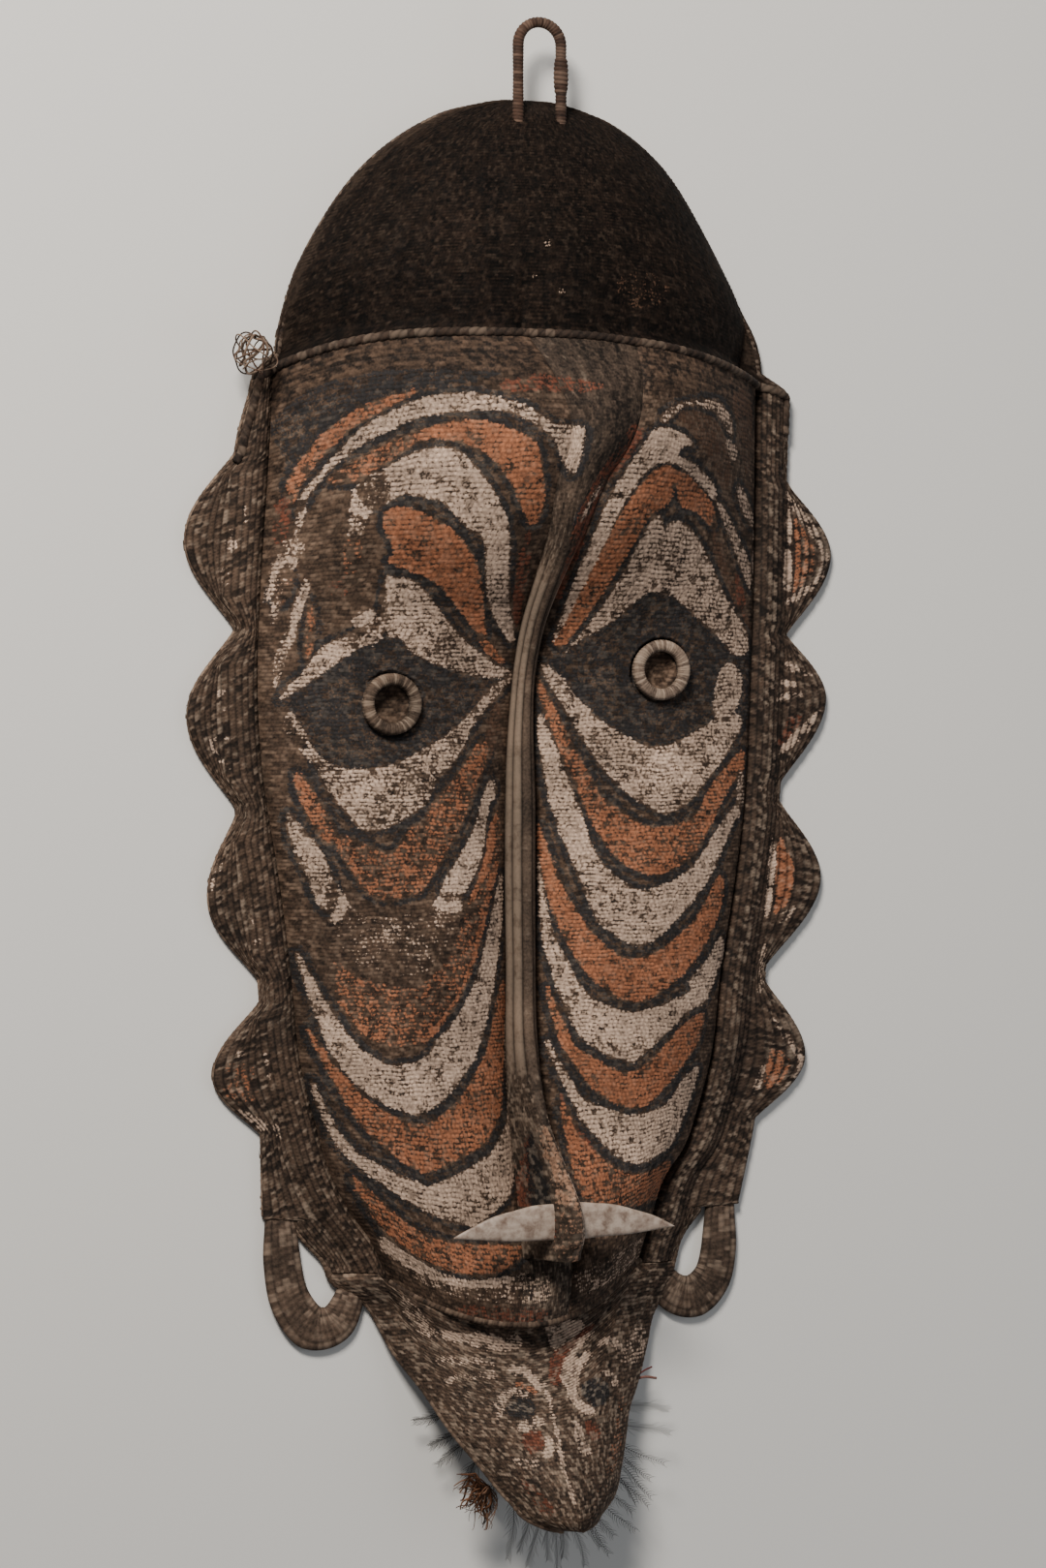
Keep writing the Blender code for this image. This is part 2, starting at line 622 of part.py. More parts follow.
def build():
    clear_scene()
    body = shell()
    for side, label in ((-1, "ear_left"), (1, "ear_right")):
        combine(body, ear(label, side), "UNION")
    for label, (x, y) in (("seat_left", LEFT_EYE), ("seat_right", RIGHT_EYE)):
        combine(body, drum(label, x, y, SEAT_Z, SEAT_Z + 20, RING_OUTER + 1.0), "DIFFERENCE")
        combine(body, drum(label + "_pupil", x, y, SEAT_Z - PUPIL_DEPTH, SEAT_Z + 10, PUPIL_RADIUS, 20), "DIFFERENCE")
    combine(body, shell_bar("bar_slot", BAR_CLEAR), "DIFFERENCE")
    combine(body, hanging_loop("loop_socket", SOCKET_CLEAR), "DIFFERENCE")
    nodes = [
        bake(body),
        ring("eye_ring_left", LEFT_EYE),
        ring("eye_ring_right", RIGHT_EYE),
        shell_bar("nose_bar", 0.0),
        hanging_loop("hanging_loop", 0.0),
        vine_ball("vine_tangle"),
        tuft("fibre_tuft"),
        fringe("plume_fringe"),
    ]
    corners = np.concatenate([np.array([v.co for v in obj.data.vertices]) for obj in nodes])
    low, high = corners.min(axis=0), corners.max(axis=0)
    shift = Vector((-(low[0] + high[0]) / 2, -(low[1] + high[1]) / 2, -low[2]))
    root = bpy.data.objects.new("mask_root", None)
    bpy.context.scene.collection.objects.link(root)
    for obj in nodes:
        obj.data.transform(Matrix.Scale(MM, 4) @ Matrix.Translation(shift))
        slot, colour, rough = MATERIALS[obj.name]
        obj.data.materials.clear()
        obj.data.materials.append(material(slot, colour, rough))
        obj.parent = root
    print("shift_mm", [round(s, 4) for s in shift])


build()
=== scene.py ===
"""Looks for a painted, plaited cane mask that lies on its back with its face up.

Lengths are millimetres in the maker's frame until a mesh is finished: x to the viewer's right, y up
the mask towards the crown, z out of the face from the flat back rim.
"""

import math

import bmesh
import bpy
import numpy as np
from mathutils import Matrix, Vector


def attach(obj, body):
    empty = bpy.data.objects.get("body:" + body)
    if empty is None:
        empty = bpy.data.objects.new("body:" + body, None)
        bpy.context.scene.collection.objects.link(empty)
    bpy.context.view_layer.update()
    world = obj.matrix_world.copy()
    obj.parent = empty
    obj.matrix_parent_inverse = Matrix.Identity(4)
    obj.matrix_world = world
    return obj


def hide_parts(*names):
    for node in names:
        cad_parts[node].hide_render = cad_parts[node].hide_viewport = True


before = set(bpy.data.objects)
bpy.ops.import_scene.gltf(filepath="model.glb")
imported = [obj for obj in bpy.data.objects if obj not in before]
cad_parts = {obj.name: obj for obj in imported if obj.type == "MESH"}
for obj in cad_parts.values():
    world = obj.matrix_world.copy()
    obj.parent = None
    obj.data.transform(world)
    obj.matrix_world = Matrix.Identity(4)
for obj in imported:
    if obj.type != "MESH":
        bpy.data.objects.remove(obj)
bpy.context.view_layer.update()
scene = bpy.context.scene

# ---- Table, light and view ----
# The mask rests on a pale matt table top. One large soft lamp stands beyond the crown on the viewer's
# left, a weak one on the right, and the eye looks down from the left at twenty degrees.
VIEW_YAW = math.radians(20)
VIEW_DISTANCE = 3.2
VIEW_TARGET = Vector((0.00704, 0.00544, 0.0))
VIEW_LENS = 104.95
TABLE_HALF = 6.0
TABLE_COLOUR = (0.66, 0.645, 0.62)
AIR_COLOUR = (0.93, 0.96, 1.0)
AIR_STRENGTH = 0.2
# name: (place, width, watts, colour)
LAMPS = {
    "key_lamp": ((-1.25, 1.75, 1.9), 0.7, 125.0, (1.0, 0.95, 0.88)),
    "fill_lamp": ((1.9, -0.5, 1.7), 1.4, 10.0, (0.9, 0.95, 1.0)),
}

eye = bpy.data.cameras.new("view")
eye.lens = VIEW_LENS
eye.sensor_width = 36.0
eye.clip_end = 50.0
camera = bpy.data.objects.new("view", eye)
camera.location = VIEW_TARGET + VIEW_DISTANCE * Vector((-math.sin(VIEW_YAW), 0, math.cos(VIEW_YAW)))
camera.rotation_euler = (0, -VIEW_YAW, 0)
scene.collection.objects.link(camera)
scene.camera = camera

for lamp_name, (place, width, watts, colour) in LAMPS.items():
    lamp = bpy.data.lights.new(lamp_name, "AREA")
    lamp.size, lamp.energy, lamp.color = width, watts, colour
    stand = bpy.data.objects.new(lamp_name, lamp)
    stand.location = place
    stand.rotation_euler = (Vector((0, 0, 0)) - Vector(place)).to_track_quat("-Z", "Y").to_euler()
    scene.collection.objects.link(stand)

air = bpy.data.worlds.new("air")
air.use_nodes = True
air.node_tree.nodes["Background"].inputs["Color"].default_value = (*AIR_COLOUR, 1)
air.node_tree.nodes["Background"].inputs["Strength"].default_value = AIR_STRENGTH
scene.world = air

board = bmesh.new()
bmesh.ops.create_grid(board, x_segments=1, y_segments=1, size=TABLE_HALF)
table_mesh = bpy.data.meshes.new("table_top")
board.to_mesh(table_mesh)
board.free()
table_finish = bpy.data.materials.new("matt_table")
table_finish.use_nodes = True
table_finish.node_tree.nodes["Principled BSDF"].inputs["Base Color"].default_value = (*TABLE_COLOUR, 1)
table_finish.node_tree.nodes["Principled BSDF"].inputs["Roughness"].default_value = 0.9
table_mesh.materials.append(table_finish)
table_top = bpy.data.objects.new("table_top", table_mesh)
scene.collection.objects.link(table_top)

# ---- The two lobes of the face ----
# Each side of the face is one swelling lobe of fine weft twined round some two dozen cane stakes. Clay
# paint lies on the crests of the stitches in curved bands, and has rubbed off them in patches.
MM = 0.001
SHIFT = Vector((1.2405, -516.9567, 0.0))
CROWN_Y = 1000.0
CHIN_Y = 13.5
BROW_Y = 797.0
EAR_TOP_Y = 226.0
LIP_Y = 186.0
LIP_UNDER_Y = 181.0
BROW_RISE = 32.0
LIP_DROP = 36.0
LIP_MID_X = -12.0
WALL = 7.0
EDGE_Z = 6.0
GROOVE_Z = 12.0
STRIP_WIDTH = 26.0
STRIP_BULGE = 5.0
HOOD_STEP = 9.0
HOOD_DEPTH = 87.0
HOOD_MID_X = 5.8
SEPTUM_Z = 5.0
LEFT_EYE = (-104.0, 577.0)
RIGHT_EYE = (94.0, 602.0)
SEAT_Z = 34.8
SEAT_RADIUS = 22.5
PUPIL_RADIUS = 10.5
PUPIL_DEPTH = 3.0

# Outline of the plain flange and chin without scallops, (y, x)
LEFT_EDGE = (
    (13.5, 3), (15, -5), (18, -13), (32, -27), (57, -45), (75, -58), (106, -76), (132, -94), (150, -103),
    (164, -112), (180, -136), (195, -143), (210, -157), (221, -165),
)
LEFT_FLANGE = ((226, -186), (283, -187), (376, -188), (499, -204), (628, -206), (767, -202), (797, -193))
RIGHT_EDGE = (
    (13.5, 19), (15, 25), (22, 37), (31, 48), (50, 58), (69, 66), (89, 74), (99, 80), (129, 94),
    (150, 101), (160, 107), (172, 114), (187, 118), (205, 125), (221, 138),
)
RIGHT_FLANGE = ((226, 167), (286, 180), (391, 188), (521, 199), (626, 203), (736, 204), (797, 206))
# Half widths of the dome as a quarter ellipse would need them, (y, mm)
HOOD_LEFT = ((797, 183), (827, 183), (868, 182), (908, 179), (964, 177), (1000, 170))
HOOD_RIGHT = ((797, 179), (815, 179), (840, 176), (866, 169), (920, 162), (973, 169), (1000, 172))
# Scallops: (tip y, how far out, half length above, half length below)
LEFT_SCALLOPS = ((687, 33, 61, 58), (569, 33, 58, 63), (439, 28, 62, 50), (323, 34, 50, 40))
RIGHT_SCALLOPS = ((686, 35, 52, 58), (583, 33, 47, 60), (453, 37, 58, 60), (327, 34, 56, 42))
SCALLOP_FULLNESS = 0.6

# Lines on the face, (y, x): the grooves at the outer edges of the two lobes, and the centre ridge
LEFT_GROOVE = (
    (13.5, 5), (16, -2), (50, -30), (91, -56), (116, -70), (150, -84), (180, -93), (203, -106),
    (230, -126), (258, -140), (291, -150), (325, -159), (393, -167), (461, -176), (520, -186),
    (797, -180),
)
RIGHT_GROOVE = (
    (13.5, 16), (16, 22), (50, 49), (75, 58), (108, 70), (132, 80), (160, 86), (186, 89), (215, 98),
    (248, 110), (264, 122), (291, 133), (325, 143), (393, 152), (427, 158), (495, 168), (620, 175),
    (797, 178),
)
RIDGE_X = (
    (13.5, 11), (30, 10), (55, 9), (84, 10), (114, 10), (135, 4), (150, 2), (170, 4), (200, 8), (222, 8),
    (240, 6), (262, 4), (293, 0), (330, -2), (400, -2), (500, -2), (603, -2), (637, 0), (664, 3),
    (691, 7), (732, 14), (760, 25), (800, 24), (829, 16),
)
RIDGE_Z = (
    (201, 96), (208, 102), (222, 105), (238, 102), (262, 82), (293, 59), (325, 44), (350, 37), (400, 33),
    (500, 31), (570, 32), (603, 37), (637, 52), (664, 72), (691, 90), (728, 107), (760, 116), (800, 110),
    (829, 95),
)
RIDGE_HALF = (
    (199, 18), (215, 19), (250, 16), (300, 12), (360, 10.5), (520, 10.5), (603, 8), (640, 9), (700, 14),
    (766, 24), (829, 40),
)
# How square the ridge is on top: 1 is a roof, 3 a flat bundle
RIDGE_SQUARE = ((199, 2.3), (240, 2.0), (281, 1.7), (340, 2.8), (560, 2.8), (620, 2.0), (829, 1.7))
# Floor beside the ridge, by height along the ridge
FLOOR_Z = (
    (144, 50), (152, 52), (170, 53), (188, 48), (204, 41), (230, 36), (260, 28), (300, 20), (400, 14),
    (500, 14), (570, 18), (603, 24), (637, 39), (664, 60), (691, 81), (732, 99), (766, 106), (800, 101),
    (829, 88),
)
# Bulge of the lobes above the line from groove to floor
LOBE_BULGE = (
    (186, 6), (215, 16), (260, 26), (320, 31), (400, 31), (500, 27), (580, 21), (660, 21), (797, 20),
)

CHIN_EDGE_Z = (
    (13.5, 89), (18, 80), (31, 67), (53, 54), (72, 42), (97, 28), (130, 13), (157, 8), (181, 8),
)
CHIN_RIDGE_Z = ((13.5, 99), (18, 103), (30, 103), (53, 91), (84, 72), (112, 51), (132, 41), (144, 42))


def knots(table, at):
    """Smooth curve through the (station, value) pairs, level beyond both ends."""
    s, v = np.array(table, float).T
    slope = np.gradient(v, s)
    at = np.clip(at, s[0], s[-1])
    i = np.clip(np.searchsorted(s, at) - 1, 0, len(s) - 2)
    h = s[i + 1] - s[i]
    t = (at - s[i]) / h
    rise = v[i] * (1 + 2 * t) * (1 - t) ** 2 + v[i + 1] * t * t * (3 - 2 * t)
    return rise + h * (slope[i] * t * (1 - t) ** 2 + slope[i + 1] * t * t * (t - 1))


def lines(table, at):
    """Straight runs between the pairs."""
    s, v = np.array(table, float).T
    return np.interp(at, s, v)


def smooth(t):
    t = np.clip(t, 0.0, 1.0)
    return t * t * (3 - 2 * t)


def scallops(shapes, v):
    out = np.zeros_like(v)
    for tip, reach, above, below in shapes:
        t = np.where(v > tip, (v - tip) / above, (tip - v) / below)
        bump = 0.5 * (1 + np.cos(math.pi * np.clip(t, 0, 1)))
        out = np.maximum(out, reach * bump**SCALLOP_FULLNESS)
    return out


def edge(side, v):
    """x of the outline at height v, side -1 for the viewer's left and 1 for the right."""
    low, flange, bumps, dome = (
        (LEFT_EDGE, LEFT_FLANGE, LEFT_SCALLOPS, HOOD_LEFT)
        if side < 0
        else (RIGHT_EDGE, RIGHT_FLANGE, RIGHT_SCALLOPS, HOOD_RIGHT)
    )
    v = np.asarray(v, float)
    plate = knots(flange, v) + side * scallops(bumps, v)
    t = np.clip((v - BROW_Y) / (CROWN_Y + 0.6 - BROW_Y), 0, 1)
    hood = HOOD_MID_X + side * knots(dome, v) * np.sqrt(1 - t * t)
    corner = smooth((v - 799.0) / 10.0)
    upper = plate * (1 - corner) + hood * corner
    return np.where(v < 0.5 * (EAR_TOP_Y + 221.0), knots(low, v), upper)


def lift(x, v):
    """y of a point whose row is v: rows rise under the brow rope and sag along the lip."""
    up = np.where(v < BROW_Y, smooth((v - 620.0) / 177.0), smooth((CROWN_Y - v) / (CROWN_Y - BROW_Y)))
    crest = -35.0 + (HOOD_MID_X + 35.0) * smooth((v - BROW_Y) / 120.0)
    follow = smooth((v - BROW_Y) / 60.0)
    reach_l = 160.0 + (crest - edge(-1, v) - 160.0) * follow
    reach_r = 242.0 + (edge(1, v) - crest - 242.0) * follow
    side = np.where(x < crest, (crest - x) / reach_l, (x - crest) / reach_r)
    power = np.where(x < crest, 3.6, 2.2)
    brow = BROW_RISE * up * (1 - np.clip(side, 0, 1) ** power)
    sag = np.where(v > LIP_Y, smooth((330.0 - v) / 144.0), smooth((v - 60.0) / 126.0))
    half = np.interp(v, (0, 100, LIP_Y, 330), (20, 50, 95, 120))
    lip = LIP_DROP * sag * np.clip(1 - ((x - LIP_MID_X) / half) ** 2, 0, 1)
    return v + brow - lip


def ridge_at(v):
    """Height up the ridge of row v."""
    return lift(np.full_like(v, 2.0), v)


def groove_x(side, v):
    line = knots(LEFT_GROOVE if side < 0 else RIGHT_GROOVE, v)
    rim = edge(side, v)
    blend = smooth((v - 800.0) / 30.0)
    return line * (1 - blend) + (rim - side * 9.0) * blend


def flange_height(rim, groove, x):
    """Flat scallop rising to one raised strip beside the groove."""
    inward = np.abs(x - groove)
    strip = GROOVE_Z + STRIP_BULGE * np.sin(math.pi * np.clip(inward / STRIP_WIDTH, 0, 1))
    fall = np.clip(np.abs(x - rim) / 9.0, 0, 1)
    level = np.where(inward > STRIP_WIDTH, 9.0, strip - 3.0 * smooth(inward / STRIP_WIDTH))
    return EDGE_Z + (level - EDGE_Z) * np.sqrt(fall)


def face_height(x, v):
    y = ridge_at(v)
    rx, half, floor = knots(RIDGE_X, y), knots(RIDGE_HALF, y), knots(FLOOR_Z, y)
    crest = np.where(y < 196.5, floor + SEPTUM_Z, knots(RIDGE_Z, y))
    square = lines(RIDGE_SQUARE, y)
    off = np.abs(x - rx) / half
    ridge = floor + (crest - floor) * (1 - np.clip(off, 0, 1) ** square)
    z = ridge
    for side in (-1, 1):
        rim, groove = edge(side, v), groove_x(side, v)
        inner = rx + side * half
        s = np.clip((x - groove) / (inner - groove), 0, 1)
        bulge = knots(LOBE_BULGE, v) * (4 * s * (1 - s)) ** 0.8
        lobe = GROOVE_Z + (floor - GROOVE_Z) * s + bulge
        z = np.where(side * (x - inner) > 0, lobe, z)
        z = np.where(side * (x - groove) > 0, flange_height(rim, groove, x), z)
    return z


def hood_height(x, v):
    t = np.clip((v - BROW_Y) / (CROWN_Y + 0.6 - BROW_Y), 0, 1)
    depth = HOOD_DEPTH * (1 - t**2.2) ** 0.55
    mid = HOOD_MID_X
    half = np.where(x < mid, mid - edge(-1, v), edge(1, v) - mid)
    u = np.clip(np.abs(x - mid) / np.maximum(half, 1e-6), 0, 1)
    return EDGE_Z + np.maximum(depth - EDGE_Z, 0) * (1 - u**1.9) ** 0.75


def chin_height(x, v):
    low, high = edge(-1, v), edge(1, v)
    y = ridge_at(v)
    rx = knots(RIDGE_X, y)
    rim, crest = knots(CHIN_EDGE_Z, v), knots(CHIN_RIDGE_Z, y)
    u = np.where(x < rx, (rx - x) / (rx - low), (x - rx) / (high - rx))
    u = np.clip(u, 0, 1)
    return rim + (crest - rim) * (0.45 * (1 - u) + 0.55 * (1 - u**2.4))


def height(x, v):
    """z of the outer surface at x on row v."""
    x, v = np.broadcast_arrays(np.asarray(x, float), np.asarray(v, float))
    x = np.clip(x, edge(-1, v), edge(1, v))
    below = smooth((LIP_Y - v) / (LIP_Y - LIP_UNDER_Y))
    above = smooth((v - BROW_Y - 2.0) / 1.8)
    face = face_height(x, np.clip(v, LIP_Y - 6, BROW_Y + 4))
    z = face * (1 - below) + chin_height(x, np.minimum(v, LIP_Y)) * below
    hood = hood_height(x, np.maximum(v, BROW_Y))
    start = np.clip(v, None, BROW_Y + 4)
    inside = np.clip(x, edge(-1, start), edge(1, start))
    rise = face_height(inside, start) - HOOD_STEP - hood_height(inside, start)
    hood = hood + np.minimum(rise, 12) * (1 - smooth((v - 799) / 75.0))
    return z * (1 - above) + np.maximum(hood, EDGE_Z) * above


def inner_height(x, v):
    """z of the inner wall: the lowest outer height within a wall's width, less the wall."""
    low = height(x, v)
    for k in range(8):
        a = k * math.pi / 4
        near_v = np.clip(v + WALL * math.sin(a), CHIN_Y, CROWN_Y)
        low = np.minimum(low, height(x + WALL * math.cos(a), near_v))
    return np.clip(low - WALL, 0, None)


FIELDS = ("coal", "brown", "red", "tan", "ochre", "white", "black")
FACE_CLAYS = ("coal", "brown", "red", "ochre", "white")
REACH = 9.0
OUTLINE_SPREAD = 4.8
WEFT_ROW = 0.9
WEFT_PITCH = 2.7
STITCHES = 44
STITCH_DEPTH = 0.7
GROOVE_DIP = 2.2
BAND_LOW_V = 771.0
BAND_PITCH = 4.2
WHITE_CLAY = (0.57, 0.402, 0.300)
OCHRE_CLAY = (0.36, 0.137, 0.068)
TAN_CLAY = (0.34, 0.19, 0.12)
RED_CLAY = (0.17, 0.055, 0.031)
BROWN_CLAY = (0.10, 0.052, 0.032)
COAL_CLAY = (0.027, 0.0235, 0.0235)
# Near black painted shade for the dark slits between the nose canes.
SLIT_SHADE_COLOUR = (0.013, 0.011, 0.011)
PAINTS = {
    "coal": COAL_CLAY, "brown": BROWN_CLAY, "red": RED_CLAY, "tan": TAN_CLAY, "ochre": OCHRE_CLAY,
    "white": WHITE_CLAY, "black": SLIT_SHADE_COLOUR,
}
LOBE_CANE = ((0.15, 0.09, 0.058), (0.014, 0.009, 0.0065))

# Painted shapes: (clay, wear 0 to 9, outline)
LEFT_LOBE_PAINT = (
    ("white", 2, (
        (-11, 597), (-44, 597), (-87, 610), (-98, 621), (-108, 623), (-111, 634), (-113, 662),
        (-107, 663), (-91, 659), (-60, 628), (-31, 608), (-19, 603), (-9, 601),
    )),
    ("white", 4, (
        (-114, 659), (-111, 623), (-130, 613), (-175, 580), (-174, 589), (-164, 598), (-150, 617),
        (-117, 634),
    )),
    ("white", 2, ((-174, 584), (-155, 609), (-142, 619), (-138, 615), (-143, 608), (-168, 585))),
    ("ochre", 0, (
        (-38, 622), (-71, 653), (-88, 664), (-111, 673), (-108, 679), (-116, 696), (-117, 705),
        (-115, 708), (-109, 710), (-91, 706), (-75, 696), (-60, 682), (-49, 664), (-41, 642),
    )),
    ("ochre", 6, ((-39, 625), (-29, 617), (-19, 608), (-26, 606), (-36, 614), (-42, 622))),
    ("white", 1, (
        (-16, 620), (-22, 625), (-41, 651), (-51, 687), (-64, 696), (-79, 712), (-87, 715), (-99, 718),
        (-107, 718), (-121, 710), (-128, 713), (-132, 719), (-130, 726), (-109, 742), (-94, 749),
        (-77, 750), (-65, 741), (-49, 722), (-35, 695), (-27, 661), (-13, 625),
    )),
    ("ochre", 4, (
        (-81, 766), (-81, 757), (-98, 753), (-127, 731), (-144, 726), (-150, 731), (-123, 750),
        (-107, 758),
    )),
    ("ochre", 1, (
        (-90, 764), (-63, 769), (-28, 758), (-19, 745), (-13, 716), (-15, 701), (-19, 699), (-24, 702),
        (-38, 727), (-51, 742), (-59, 748), (-78, 755), (-93, 757),
    )),
    ("red", 4, ((-13, 629), (-21, 645), (-23, 668), (-24, 688), (-20, 695), (-15, 678), (-11, 639))),
    ("white", 1, (
        (-168, 707), (-167, 717), (-162, 726), (-136, 759), (-121, 771), (-93, 784), (-70, 787),
        (-57, 786), (-28, 778), (-11, 767), (9, 764), (9, 750), (3, 732), (-10, 755), (-28, 768),
        (-47, 775), (-90, 772), (-113, 763), (-134, 750), (-153, 731),
    )),
    ("ochre", 2, (
        (-171, 712), (-174, 723), (-172, 733), (-155, 759), (-132, 778), (-113, 786), (-97, 788),
        (-127, 770), (-143, 757), (-162, 733),
    )),
    ("red", 5, ((-180, 714), (-173, 720), (-172, 700), (-175, 680), (-180, 677), (-183, 697))),
    ("white", 5, ((-179, 591), (-182, 595), (-182, 608), (-165, 657), (-161, 661), (-160, 653))),
    ("white", 6, ((-184, 648), (-185, 658), (-178, 687), (-169, 690), (-164, 687), (-165, 677))),
    ("ochre", 4, ((-182, 648), (-180, 661), (-176, 669), (-171, 664), (-173, 653), (-177, 644))),
    ("ochre", 4, ((-162, 608), (-161, 646), (-157, 641), (-156, 624), (-158, 611))),
    ("ochre", 6, ((-141, 687), (-131, 690), (-128, 677), (-133, 662), (-139, 667))),
    ("red", 7, ((-149, 662), (-141, 664), (-136, 677), (-133, 660), (-137, 647), (-146, 649))),
    ("white", 7, ((-134, 640), (-125, 642), (-116, 640), (-116, 629), (-128, 626))),
    ("white", 3, (
        (-10, 595), (-41, 564), (-49, 547), (-62, 531), (-70, 526), (-79, 509), (-100, 496), (-109, 492),
        (-123, 490), (-135, 502), (-148, 518), (-156, 538), (-149, 540), (-143, 535), (-133, 533),
        (-107, 535), (-85, 544), (-54, 563), (-29, 589), (-18, 595),
    )),
    ("white", 6, ((-149, 532), (-164, 543), (-176, 558), (-176, 568), (-171, 572), (-165, 565))),
    ("ochre", 4, (
        (-169, 529), (-161, 525), (-148, 502), (-143, 490), (-146, 481), (-153, 487), (-165, 511),
    )),
    ("ochre", 4, (
        (-31, 552), (-29, 542), (-50, 497), (-80, 452), (-91, 446), (-105, 443), (-116, 444), (-126, 453),
        (-140, 476), (-143, 489), (-109, 476), (-99, 481), (-92, 492), (-81, 498), (-73, 511), (-55, 529),
        (-39, 550),
    )),
    ("brown", 3, ((-29, 572), (-21, 579), (-18, 566), (-22, 552), (-28, 539), (-32, 549))),
    ("white", 1, (
        (-65, 444), (-68, 453), (-43, 489), (-32, 519), (-27, 525), (-22, 521), (-23, 514), (-29, 505),
        (-34, 473), (-40, 462), (-50, 447), (-58, 443),
    )),
    ("white", 2, (
        (-173, 502), (-168, 498), (-151, 476), (-144, 457), (-142, 446), (-145, 436), (-150, 437),
        (-155, 446), (-171, 485),
    )),
    ("white", 7, (
        (-51, 442), (-62, 416), (-77, 396), (-88, 391), (-100, 390), (-122, 396), (-133, 403),
        (-140, 413), (-147, 439), (-144, 455), (-131, 439), (-121, 434), (-108, 432), (-80, 437),
        (-69, 446),
    )),
    ("ochre", 5, (
        (-20, 503), (-17, 482), (-22, 458), (-41, 402), (-56, 376), (-73, 353), (-81, 346), (-95, 343),
        (-108, 344), (-120, 348), (-137, 369), (-143, 396), (-139, 403), (-133, 395), (-108, 386),
        (-91, 384), (-77, 391), (-66, 402), (-58, 416), (-36, 465), (-27, 495),
    )),
    ("white", 1, (
        (-16, 459), (-16, 428), (-26, 378), (-36, 350), (-45, 332), (-66, 308), (-84, 297), (-92, 297),
        (-116, 307), (-132, 322), (-146, 343), (-163, 396), (-164, 407), (-148, 375), (-130, 347),
        (-111, 332), (-98, 331), (-87, 333), (-79, 338), (-74, 347), (-65, 354), (-49, 374), (-37, 400),
        (-21, 452),
    )),
    ("ochre", 2, (
        (-15, 387), (-12, 367), (-19, 307), (-22, 294), (-31, 282), (-38, 274), (-79, 257), (-88, 259),
        (-98, 264), (-117, 281), (-133, 302), (-154, 343), (-157, 355), (-140, 329), (-119, 306),
        (-100, 294), (-88, 290), (-76, 293), (-57, 306), (-39, 329), (-32, 341), (-23, 374),
    )),
    ("white", 1, (
        (-12, 369), (-11, 367), (-12, 321), (-10, 267), (-13, 251), (-19, 238), (-28, 232), (-45, 220),
        (-55, 220), (-66, 223), (-87, 233), (-114, 252), (-137, 274), (-152, 307), (-154, 320),
        (-140, 290), (-127, 272), (-107, 259), (-87, 250), (-77, 248), (-36, 266), (-28, 274), (-14, 295),
        (-15, 344),
    )),
    ("ochre", 3, (
        (-7, 204), (-16, 194), (-28, 188), (-42, 185), (-58, 187), (-74, 192), (-96, 206), (-106, 216),
        (-121, 239), (-126, 253), (-93, 222), (-71, 211), (-58, 208),
    )),
    ("white", 6, (
        (-105, 212), (-85, 197), (-61, 184), (-43, 183), (-22, 185), (-2, 187), (6, 181), (5, 168),
        (-7, 165), (-23, 165), (-43, 167), (-61, 171), (-84, 182), (-96, 194), (-104, 202),
    )),
    ("white", 5, ((-25, 182), (-8, 184), (2, 182), (3, 171), (-8, 167), (-23, 169))),
    ("red", 4, ((-56, 164), (-39, 165), (-17, 163), (2, 162), (3, 150), (-22, 149), (-41, 151), (-55, 156))),
    ("red", 4, ((-44, 796), (-17, 801), (9, 798), (24, 792), (8, 787), (-18, 788), (-44, 789))),
    ("white", 6, ((-132, 728), (-119, 734), (-115, 718), (-125, 706), (-130, 690), (-139, 691), (-138, 713))),
    ("white", 6, (
        (-167, 713), (-172, 687), (-179, 661), (-185, 634), (-181, 632), (-174, 657), (-168, 684),
        (-163, 710),
    )),
)
